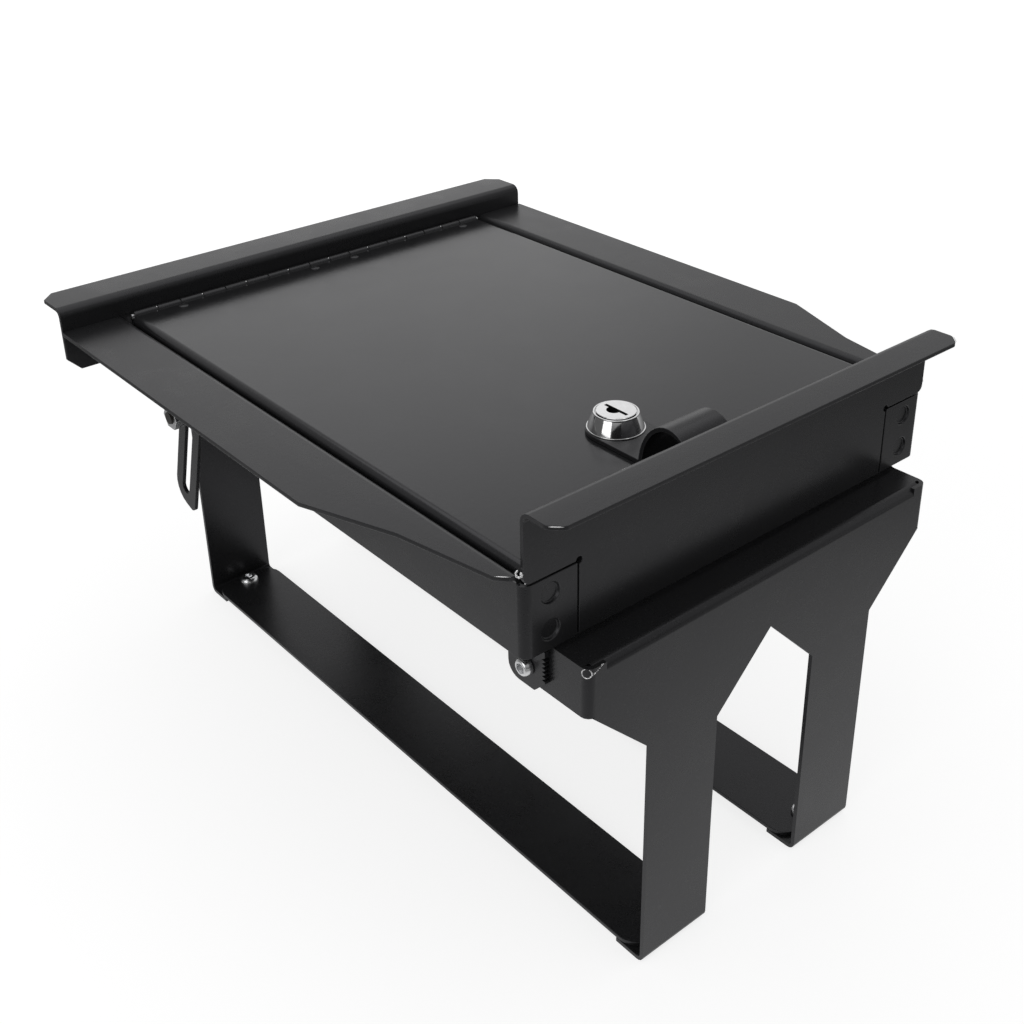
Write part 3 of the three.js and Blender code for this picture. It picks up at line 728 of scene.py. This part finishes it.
def between(shape: bmesh.types.BMesh, *rings: Sequence[bmesh.types.BMVert]) -> None:
    """Fills the flat area inside the first ring and outside the others.

    Args:
        shape: The mesh.
        rings: The outer ring, and then the holes.
    """
    edges = []
    for ring in rings:
        for k, spot in enumerate(ring):
            pair = (spot, ring[(k + 1) % len(ring)])
            edges.append(shape.edges.get(pair) or shape.edges.new(pair))
    bmesh.ops.triangle_fill(shape, edges=edges, use_beauty=True)


def tube(shape: bmesh.types.BMesh, rows: Sequence[Sequence[Vector]]) -> None:
    """A closed tube through rings of points.

    Args:
        shape: The mesh that gets it.
        rows: The rings, from one end to the other, in millimetres.
    """
    rings = [[shape.verts.new(spot * MM) for spot in row] for row in rows]
    for low, high in zip(rings, rings[1:]):
        band(shape, low, high)
    shape.faces.new(rings[0])
    shape.faces.new(rings[-1])


def drop(shape: bmesh.types.BMesh, centre: Vector, size: float) -> None:
    """Adds a small drop of metal.

    Args:
        shape: The mesh that gets it.
        centre: Its centre, in millimetres.
        size: Its radius.
    """
    place = Matrix.Translation(centre * MM)
    bmesh.ops.create_uvsphere(shape, u_segments=14, v_segments=8, radius=size * MM, matrix=place)


@dataclass
class Carcass:
    """The welded tray with its rails, and the two leg brackets with their straps."""

    sheets: tuple[str, ...] = (
        "tray_side_left",
        "tray_side_right",
        "front_rail",
        "rear_rail",
        "front_leg_bracket",
        "rear_leg_bracket",
        "floor_strap_left",
        "floor_strap_right",
        "latch_keeper",
        "arm_ear_left",
        "arm_ear_right",
    )

    def build(self) -> None:
        """Dresses every sheet of the carcass."""
        for node in self.sheets:
            dress(node, Slot.POWDER, SHEET_EDGE)


@dataclass
class Lid:
    """The lid pan with the hinge leaves, pin and rivets, and the finger pull."""

    rivets: int = 4

    def build(self) -> None:
        """Dresses the lid's own pieces."""
        dress("lid_pan", Slot.LID, SHEET_EDGE)
        dress("finger_pull", Slot.POWDER, SHEET_EDGE)
        dress("hinge_frame_leaf", Slot.HINGE, SMALL_EDGE)
        dress("hinge_lid_leaf", Slot.HINGE, SMALL_EDGE)
        dress("hinge_pin", Slot.PIN, METAL_EDGE)
        for number in range(1, self.rivets + 1):
            dress(f"hinge_rivet_{number}", Slot.HINGE, SMALL_EDGE)


@dataclass
class CamLock:
    """The cam lock: plated bezel, plug with its keyway, nut, cam and screw.

    Sizes are in millimetres, and heights are over the centre. The steps of the bezel's foot,
    rim and recess are what each corner of its outline adds to a radius and a height.
    """

    centre: Triple = (-16.0, 57.0, 2.1)
    bore: float = 7.4
    foot_bottom: float = -20.9
    barrel: float = 8.9
    barrel_flat: float = 7.8
    base: float = 12.1
    rim: float = 9.5
    height: float = 7.3
    foot_steps: tuple[Pair, ...] = (
        (0.1, 0.1),
        (0.1, 0.4),
        (0.0, 0.5),
        (-0.22, 0.5),
        (-0.26, 0.7),
    )
    rim_steps: tuple[Pair, ...] = ((0.12, -0.7), (0.02, -0.5), (0.0, -0.12), (-0.12, 0.0))
    recess_steps: tuple[Pair, ...] = ((0.62, 0.0), (0.52, -0.1), (0.5, -1.6))
    face: float = 8.35
    face_top: float = 7.75
    face_round: float = 0.16
    play: float = 0.3
    plug_seat: float = 1.5
    plug_tail: float = 3.0
    slot_half: float = 0.8
    slot_reach: float = 6.4
    slot_depth: float = 3.5
    warding: float = 3.1
    warding_up: float = 0.6
    warding_steps: int = 24
    margin: float = 0.1
    sill: float = 0.05
    slack: float = 0.01
    bezel_crease: float = math.radians(24.0)
    plug_crease: float = math.radians(30.0)

    def build(self) -> None:
        """Models the bezel and the plug, and dresses the rest of the lock."""
        self._bezel()
        self._plug()
        for node in ("lock_nut", "lock_cam", "cam_screw"):
            dress(node, Slot.ZINC, METAL_EDGE)

    def _bezel(self) -> None:
        """The conical bezel with its foot, rim and barrel."""
        profile = [
            (self.bore, self.foot_bottom),
            (self.barrel, self.foot_bottom),
            (self.barrel, 0.0),
            (self.base, 0.0),
            *((self.base + out, up) for out, up in self.foot_steps),
            *((self.rim + out, self.height + up) for out, up in self.rim_steps),
            *((self.face + out, self.height + up) for out, up in self.recess_steps),
            (self.bore, self.height + self.recess_steps[-1][1]),
        ]
        shape = turned(profile, self.centre)
        self._flatten(shape)
        bezel = new_piece("lock_bezel_turned", shape, SHOP.of(Slot.CHROME), "lid")
        bezel.data.set_sharp_from_angle(angle=self.bezel_crease)
        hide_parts("lock_body")

    def _flatten(self, shape: bmesh.types.BMesh) -> None:
        """Gives the barrel under the foot its two flats.

        Args:
            shape: The bezel's mesh.
        """
        x0, y0, z0 = self.centre
        flat, reach = self.barrel_flat, self.barrel + self.slack
        for spot in shape.verts:
            x, y, z = spot.co / MM
            if z < z0 + self.slack and math.hypot(x - x0, y - y0) < reach:
                spot.co.x = (x0 + max(-flat, min(flat, x - x0))) * MM

    def _keyway(self) -> list[Pair]:
        """The keyway's outline: a straight slot with a half-round warding on its left side.

        Returns:
            Its points about the plug's axis, in millimetres.
        """
        half, reach = self.slot_half, self.slot_reach
        outline = [(half, -reach), (half, reach), (-half, reach)]
        for k in range(self.warding_steps + 1):
            angle = math.pi / 2.0 + math.pi * k / self.warding_steps
            x, y = self.warding * math.cos(angle), self.warding * math.sin(angle)
            outline.append((min(x, 0.0) - half, y + self.warding_up))
        outline.append((-half, -reach))
        return outline

    def _plug(self) -> None:
        """The turning plug: a flat face with its keyway, standing a little over the rim."""
        shape = bmesh.new()
        body = self.bore - self.play
        levels = (
            (body, self.foot_bottom - self.plug_tail),
            (body, self.height - self.plug_seat),
            (self.face, self.height - self.plug_seat),
            (self.face, self.face_top - self.face_round),
            (self.face - self.face_round, self.face_top),
        )
        rings = [loop_of(shape, circle(radius), height, self.centre) for radius, height in levels]
        for low, high in zip(rings, rings[1:]):
            band(shape, low, high)
        mouth = loop_of(shape, self._keyway(), self.face_top, self.centre)
        floor = loop_of(shape, self._keyway(), self.face_top - self.slot_depth, self.centre)
        between(shape, rings[-1], mouth)
        band(shape, mouth, floor)
        between(shape, floor)
        between(shape, rings[0])
        plug = new_piece(
            "lock_plug_face", shape, SHOP.of(Slot.CHROME), "lock_cylinder"
        )
        self._paint_keyway_shade(plug)
        plug.data.set_sharp_from_angle(angle=self.plug_crease)
        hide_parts("lock_plug")

    def _paint_keyway_shade(self, plug: bpy.types.Object) -> None:
        """Paints the keyway's walls and floor dark, as painted shade in the recess.

        Args:
            plug: The plug's piece.
        """
        plug.data.materials.append(SHOP.bore)
        x0, y0, z0 = self.centre
        half = self.warding + self.slot_half + self.margin
        reach = self.slot_reach + self.margin
        top = z0 + self.face_top - self.sill
        for face in plug.data.polygons:
            x, y, z = face.center / MM
            if z < top and abs(x - x0) < half and abs(y - y0) < reach:
                face.material_index = SECOND_FINISH


@dataclass
class SideFittings:
    """The toothed clamp and the slotted arm of one side."""

    side: Side

    def build(self) -> None:
        """Dresses the fittings."""
        word = self.side.word
        dress(f"clamp_plate_{word}", Slot.POWDER, SMALL_EDGE)
        dress(f"slotted_arm_{word}", Slot.POWDER, SHEET_EDGE)
        dress(f"clamp_bolt_{word}", Slot.SCREW, METAL_EDGE)
        dress(f"clamp_nut_{word}", Slot.ZINC, METAL_EDGE)
        dress(f"arm_bolt_{word}", Slot.OXIDE, METAL_EDGE)
        dress(f"arm_sleeve_{word}", Slot.ZINC, METAL_EDGE)
        dress(f"arm_nut_{word}", Slot.SCREW, METAL_EDGE)
        for end in ("front", "rear"):
            dress(f"strap_screw_{end}_{word}", Slot.SCREW, METAL_EDGE)


@dataclass(frozen=True)
class Bead:
    """One open ring of weld.

    Args:
        ring: Radius of the ring, in millimetres.
        thick: Radius of the bead.
        share: How much of the full turn it covers.
        start: Where it starts, in full turns.
        around: Steps along it.
        across: Facets across it.
        ripples: Depth, waves in a full turn and phase of each ripple.
        tip: Thickness of its very end, as a share.
        swell: What it gains with each step from the end.
    """

    ring: float
    thick: float
    share: float
    start: float = 0.28
    around: int = 40
    across: int = 10
    ripples: tuple[Triple, ...] = ((0.2, 7.0, 0.0), (0.12, 17.0, 1.0))
    tip: float = 0.3
    swell: float = 0.25

    def lay(
        self, shape: bmesh.types.BMesh, seat: Callable[[float, float, float], Vector]
    ) -> None:
        """Lays the bead on the safe.

        Args:
            shape: The mesh that gets it.
            seat: Takes a point of the flat ring to its place on the safe.
        """
        rows = []
        for k in range(self.around + 1):
            angle = FULL_TURN * (self.start + self.share * k / self.around)
            wave = sum(d * math.sin(n * angle + phase) for d, n, phase in self.ripples)
            end = min(1.0, self.tip + self.swell * min(k, self.around - k))
            thick = self.thick * (1.0 + wave) * end
            row = []
            for out, height in circle(thick, self.across):
                radius = self.ring + out
                row.append(seat(radius * math.cos(angle), radius * math.sin(angle), height))
            rows.append(row)
        tube(shape, rows)


@dataclass
class CornerWelds:
    """Weld beads at the tray's front corners, and a ring with spatter on the ledge, in bright
    bare metal: the beads are modelled welds, and their brightness is partly a painted highlight
    for the glints on them.

    Places and sizes are in millimetres, those of one side with X away from the middle.
    """

    tray_corner: Triple = (114.3, 1.7, 1.5)
    tray_facing: Triple = (0.5, -0.6, 0.6)
    tray_bead: Bead = Bead(1.15, 0.42, 0.82)
    tray_drop: Triple = (-0.5, -0.7, 0.1)
    tray_drop_size: float = 0.75
    ledge_side: Side = Side.LEFT
    ledge_bead: Bead = Bead(1.9, 0.23, 0.9)
    ledge_bend: Pair = (95.7, -13.4)
    bend_radius: float = 3.8
    bead_sunk: float = 0.08
    ledge_turn: float = 0.62
    ledge_height: float = -38.55
    spatter_sunk: float = 0.6
    spatter: tuple[Triple, ...] = (
        (97.1, -39.2, 0.34),
        (96.5, -38.8, 0.26),
        (96.0, -38.6, 0.36),
        (95.4, -38.2, 0.24),
        (94.8, -37.9, 0.34),
        (94.3, -37.4, 0.24),
        (93.8, -37.5, 0.3),
        (93.2, -36.9, 0.26),
        (92.8, -36.7, 0.34),
        (92.2, -36.6, 0.22),
    )

    def build(self) -> None:
        """Makes the beads at both ends of the tray, and the ring and spatter on the ledge."""
        for side in Side:
            shape = bmesh.new()
            self._tray(shape, side)
            if side is self.ledge_side:
                self._ledge(shape, side)
            new_piece(f"corner_welds_{side.word}", shape, SHOP.weld, "tray")

    def _tray(self, shape: bmesh.types.BMesh, side: Side) -> None:
        """The bead and its drop at one front corner of the tray.

        Args:
            shape: The mesh that gets them.
            side: The side of the tray.
        """
        mirror = Vector((side.value, 1.0, 1.0))
        centre = mirror * Vector(self.tray_corner)
        turn = (mirror * Vector(self.tray_facing)).to_track_quat("Z", "Y").to_matrix()
        self.tray_bead.lay(shape, lambda u, v, w: centre + turn @ Vector((u, v, w)))
        drop(shape, centre + mirror * Vector(self.tray_drop), self.tray_drop_size)

    def _ledge(self, shape: bmesh.types.BMesh, side: Side) -> None:
        """The ring round the ledge's corner bend, and the spatter beside it.

        Args:
            shape: The mesh that gets them.
            side: The side of the ledge.
        """
        x0, y0 = self.ledge_bend

        def on_bend(u: float, v: float, w: float) -> Vector:
            """A point of the flat ring, laid on the bend.

            Args:
                u: How far round the bend it is.
                v: How far up the bend.
                w: How far out of it.

            Returns:
                Its place on the safe.
            """
            angle = self.ledge_turn + u / self.bend_radius
            reach = self.bend_radius - self.bead_sunk + w
            across, out = x0 + reach * math.cos(angle), y0 - reach * math.sin(angle)
            return Vector((side.value * across, out, self.ledge_height + v))

        self.ledge_bead.lay(shape, on_bend)
        for along, height, size in self.spatter:
            past = max(0.0, along - x0)
            out = y0 - math.sqrt(self.bend_radius**2 - past**2) + self.spatter_sunk * size
            drop(shape, Vector((side.value * along, out, height)), size)


@dataclass
class GlintLines:
    """Thin bright metal lines on the corners of the front: a painted highlight for the glints on
    those edges.

    The points of a line are in millimetres, with X away from the middle.
    """

    half: float = 0.19
    tip: float = 0.4
    across: int = 6
    lines: tuple[tuple[Triple, ...], ...] = (
        (
            (113.2, -12.2, 26.25),
            (112.2, -13.3, 26.28),
            (110.6, -14.9, 26.28),
            (109.4, -15.8, 26.25),
        ),
        (
            (120.2, 8.1, -0.1),
            (118.8, 6.6, -0.08),
            (117.4, 5.05, -0.08),
            (116.2, 3.85, -0.1),
        ),
    )

    def build(self) -> None:
        """Makes the painted highlight lines on both sides."""
        for side in Side:
            shape = bmesh.new()
            for line in self.lines:
                self._line(shape, [Vector((side.value * x, y, z)) for x, y, z in line])
            # bright metal strips laid along the edges as a painted highlight
            new_piece(f"glint_lines_{side.word}", shape, SHOP.weld, "tray")

    def _line(self, shape: bmesh.types.BMesh, points: list[Vector]) -> None:
        """One line, thin at its ends.

        Args:
            shape: The mesh that gets it.
            points: Its points, in millimetres.
        """
        up = Vector(UPWARD)
        out = (points[-1] - points[0]).normalized().cross(up)
        last = len(points) - 1
        rows = []
        for k, point in enumerate(points):
            radius = self.half * (self.tip if k in (0, last) else 1.0)
            rows.append([point + x * out + y * up for x, y in circle(radius, self.across)])
        tube(shape, rows)


@dataclass
class HingeGlints:
    """Bright metal specks at one end of the frame leaf's knuckles: a painted highlight for the
    glints there.

    Sizes are in millimetres.
    """

    axis: Pair = (305.5, -0.9)
    knuckle: float = 2.3
    first: float = -95.25
    pitch: float = 25.4
    count: int = 8
    size: float = 0.42
    sunk: float = 0.5
    inset: float = 0.48
    turn: float = math.radians(60.0)

    def build(self) -> None:
        """Makes one painted highlight speck at the end of each knuckle of the frame leaf."""
        shape = bmesh.new()
        reach = self.knuckle - self.sunk * self.size
        y = self.axis[0] - reach * math.cos(self.turn)
        z = self.axis[1] + reach * math.sin(self.turn)
        for k in range(self.count):
            drop(shape, Vector((self.first + self.pitch * k - self.inset, y, z)), self.size)
        # bright metal drops as a painted highlight on the knuckles
        new_piece("hinge_glints", shape, SHOP.weld, "tray")


@dataclass(frozen=True)
class SoftBox:
    """One square soft box.

    Args:
        name: The lamp's name.
        at: Its place, in metres.
        target: The point it faces.
        size: Its side, in metres.
        power: Its power, in watts.
    """

    name: str
    at: Triple
    target: Triple
    size: float
    power: float

    def build(self) -> None:
        """Adds the lamp to the scene."""
        data = bpy.data.lights.new(self.name, "AREA")
        data.shape = "SQUARE"
        data.size = self.size
        data.energy = self.power
        lamp = bpy.data.objects.new(self.name, data)
        lamp.location = self.at
        lamp.rotation_mode = "QUATERNION"
        away = Vector(self.target) - Vector(self.at)
        lamp.rotation_quaternion = away.to_track_quat("-Z", "Y")
        bpy.context.scene.collection.objects.link(lamp)


@dataclass(frozen=True)
class PhotoCamera:
    """The camera at the photograph's place, angle, focal length and small shift.

    Args:
        azimuth: Its angle round the safe, in degrees.
        elevation: Its angle over the horizon, in degrees.
        roll: Its roll, in degrees.
        focal_px: Its focal length, in pixels.
        centre_px: Where its axis meets the picture, in pixels.
        image_px: Width and height of the picture, in pixels.
        place: Its place, in metres.
        sensor_mm: Width of its sensor, in millimetres.
        clip: The nearest and the farthest that it sees, in metres.
    """

    azimuth: float = -39.95
    elevation: float = 26.5
    roll: float = -0.89
    focal_px: float = 1367.0
    centre_px: Pair = (525.0, 400.0)
    image_px: float = 1024.0
    place: Triple = (-0.3616, -0.2981, 0.2612)
    sensor_mm: float = 36.0
    clip: Pair = (0.01, 50.0)

    def build(self) -> None:
        """Adds the camera to the scene and makes it the scene's own."""
        data = bpy.data.cameras.new("camera")
        data.sensor_width = self.sensor_mm
        data.lens = data.sensor_width * self.focal_px / self.image_px
        middle = self.image_px / 2.0
        data.shift_x = (middle - self.centre_px[0]) / self.image_px
        data.shift_y = (self.centre_px[1] - middle) / self.image_px
        data.clip_start, data.clip_end = self.clip
        camera = bpy.data.objects.new("camera", data)
        camera.matrix_world = Matrix.Translation(Vector(self.place)) @ self._turn()
        bpy.context.scene.collection.objects.link(camera)
        bpy.context.scene.camera = camera

    def _turn(self) -> Matrix:
        """The camera's rotation.

        Returns:
            It as a matrix of four rows.
        """
        azimuth, elevation = math.radians(self.azimuth), math.radians(self.elevation)
        back = Vector(
            (
                math.sin(azimuth) * math.cos(elevation),
                -math.cos(azimuth) * math.cos(elevation),
                math.sin(elevation),
            )
        )
        right = Vector(UPWARD).cross(back).normalized()
        up = back.cross(right)
        c, s = math.cos(math.radians(self.roll)), math.sin(math.radians(self.roll))
        return Matrix((c * right + s * up, -s * right + c * up, back)).transposed().to_4x4()


@dataclass
class Studio:
    """Pale floor, plain soft light, and the room that the coat mirrors.

    Strengths and paints are shares of white. Ramps hold places and shares.
    """

    floor_z: float = -0.2037
    floor_half: float = 6.0
    floor_paint: float = 0.8
    paint_unseen: Pair = (0.45, 0.68)
    floor_glow: Pair = (0.78, 0.22)
    far_scale: float = 0.25
    far: Stops = ((0.15, 0.0), (0.4, 1.0))
    pool_glow: float = 0.78
    pool_scale: float = 0.5
    pool_middle: Triple = (0.0, 0.1, 0.0)
    pool: Stops = (
        (0.03, 0.5),
        (0.07, 0.9),
        (0.12, 0.76),
        (0.16, 0.66),
        (0.185, 0.53),
        (0.24, 0.3),
        (0.31, 0.13),
        (0.4, 0.12),
        (0.55, 0.5),
    )
    rear_middle: Triple = (0.0, 0.62, 0.0)
    rear_pool: Stops = ((0.07, 0.8), (0.15, 0.0))
    world: float = 0.42
    back_wall: Triple = (0.85, 0.53, 0.0)
    turn: Stops = ((0.5, 0.0), (0.78, 1.0))
    front_room: Stops = ((0.2, 0.1), (0.35, 0.3))
    back_room: Stops = ((0.45, 0.68), (0.75, 0.4))
    bright_spot: Triple = (0.498, 0.797, 0.342)
    spot: Stops = ((0.955, 0.0), (0.988, 1.0))
    spot_gain: float = 0.32
    lamps: tuple[SoftBox, ...] = (
        SoftBox("overhead box", (0.1, 0.3, 1.5), (0.0, 0.15, 0.0), 2.2, 10.0),
        SoftBox("left box", (-1.35, -0.1, 0.55), (0.0, 0.1, -0.05), 1.0, 4.0),
    )
    camera: PhotoCamera = PhotoCamera()

    def build(self) -> None:
        """Sets the floor, the lamps, the world and the camera."""
        self._floor()
        for lamp in self.lamps:
            lamp.build()
        self._world()
        self.camera.build()
        bpy.context.scene.view_settings.view_transform = "Standard"
        LOG.info("studio set with %d lamps", len(self.lamps))

    def _floor(self) -> None:
        """A wide pale floor that keeps the shadow."""
        shape = bmesh.new()
        bmesh.ops.create_grid(shape, x_segments=2, y_segments=2, size=self.floor_half)
        mesh = bpy.data.meshes.new("floor")
        shape.to_mesh(mesh)
        shape.free()
        mesh.materials.append(self._floor_material())
        floor = bpy.data.objects.new("floor", mesh)
        floor.location.z = self.floor_z
        bpy.context.scene.collection.objects.link(floor)

    def _floor_material(self) -> bpy.types.Material:
        """The floor's paint, and how bright it looks to the camera and in mirrors.

        Returns:
            The material.
        """
        material, nodes = new_material("pale floor")
        seen, mirrored = self._rays(nodes)
        dim_seen, dim_mirrored = self.paint_unseen
        paint = self.floor_paint - seen * dim_seen - mirrored * dim_mirrored
        inputs = {0: paint, 1: paint, 2: paint}
        colour = nodes.add("ShaderNodeCombineColor", {}, inputs, "Color")
        card = nodes.add("ShaderNodeBsdfDiffuse", {}, {"Color": colour}, "BSDF")
        away = nodes.vector(Operation.LENGTH, {0: nodes.place()})
        far = nodes.ramp(away * self.far_scale, self.far)
        base, more = self.floor_glow
        strength = seen * (base + far * more) + mirrored * self._near(nodes) * self.pool_glow
        inputs = {"Color": WHITE, "Strength": strength}
        glow = nodes.add("ShaderNodeEmission", {}, inputs, "Emission")
        both = nodes.add("ShaderNodeAddShader", {}, {0: card, 1: glow}, "Shader")
        nodes.add("ShaderNodeOutputMaterial", {}, {"Surface": both})
        return material

    def _near(self, nodes: Nodes) -> Socket:
        """How bright the floor mirrors: pale round the safe, dim further out.

        Args:
            nodes: The floor's tree.

        Returns:
            The share of white.
        """
        at = nodes.place()
        patches = []
        for middle, stops in ((self.pool_middle, self.pool), (self.rear_middle, self.rear_pool)):
            away = nodes.vector(Operation.DISTANCE, {0: at, 1: middle})
            patches.append(nodes.ramp(away * self.pool_scale, stops))
        return patches[0].or_more(patches[1])

    def _world(self) -> None:
        """White to the camera, the room to mirrors, a plain pale level to the object."""
        world = bpy.data.worlds.new("studio")
        world.use_nodes = True
        bpy.context.scene.world = world
        nodes = Nodes(world.node_tree)
        seen, mirrored = self._rays(nodes)
        facing = nodes.add("ShaderNodeTexCoord", {}, {}, "Generated")
        other = 1.0 - (seen + mirrored).clamped()
        strength = seen + mirrored * self._room(nodes, facing) + other * self.world
        inputs = {"Color": WHITE, "Strength": strength}
        light = nodes.add("ShaderNodeBackground", {}, inputs, "Background")
        nodes.add("ShaderNodeOutputWorld", {}, {"Surface": light})

    @staticmethod
    def _rays(nodes: Nodes) -> tuple[Socket, Socket]:
        """What kind of ray looks at the backdrop.

        Args:
            nodes: The tree that asks.

        Returns:
            1 for the camera's own rays, and 1 for those mirrored or passed on.
        """
        seen, glossy, through = (
            nodes.add("ShaderNodeLightPath", {}, {}, f"Is {kind} Ray")
            for kind in ("Camera", "Glossy", "Transmission")
        )
        return seen, (glossy + through).clamped()

    def _room(self, nodes: Nodes, facing: Socket) -> Socket:
        """How bright the room is in one direction: pale behind the safe, dim before it.

        Args:
            nodes: The world's tree.
            facing: The direction.

        Returns:
            The share of white.
        """
        behind = self._along(nodes, facing, self.back_wall)
        share = nodes.ramp(behind.unsigned(), self.turn)
        height = self._along(nodes, facing, UPWARD)
        front, back = nodes.ramp(height, self.front_room), nodes.ramp(height, self.back_room)
        bright = nodes.ramp(self._along(nodes, facing, self.bright_spot), self.spot)
        return front * (1.0 - share) + back * share + bright * self.spot_gain

    @staticmethod
    def _along(nodes: Nodes, vector: Socket, axis: Triple) -> Socket:
        """How far a vector reaches along an axis."""
        return nodes.vector(Operation.DOT_PRODUCT, {0: vector, 1: axis})


def main() -> None:
    """Builds the safe, sub-assembly by sub-assembly, and the studio round it."""
    logging.basicConfig(level=logging.INFO, format="%(name)s: %(message)s")
    SHOP.build()
    Studio().build()
    Carcass().build()
    Lid().build()
    CamLock().build()
    for side in Side:
        SideFittings(side).build()
    CornerWelds().build()
    GlintLines().build()
    HingeGlints().build()


if __name__ == "__main__":
    main()
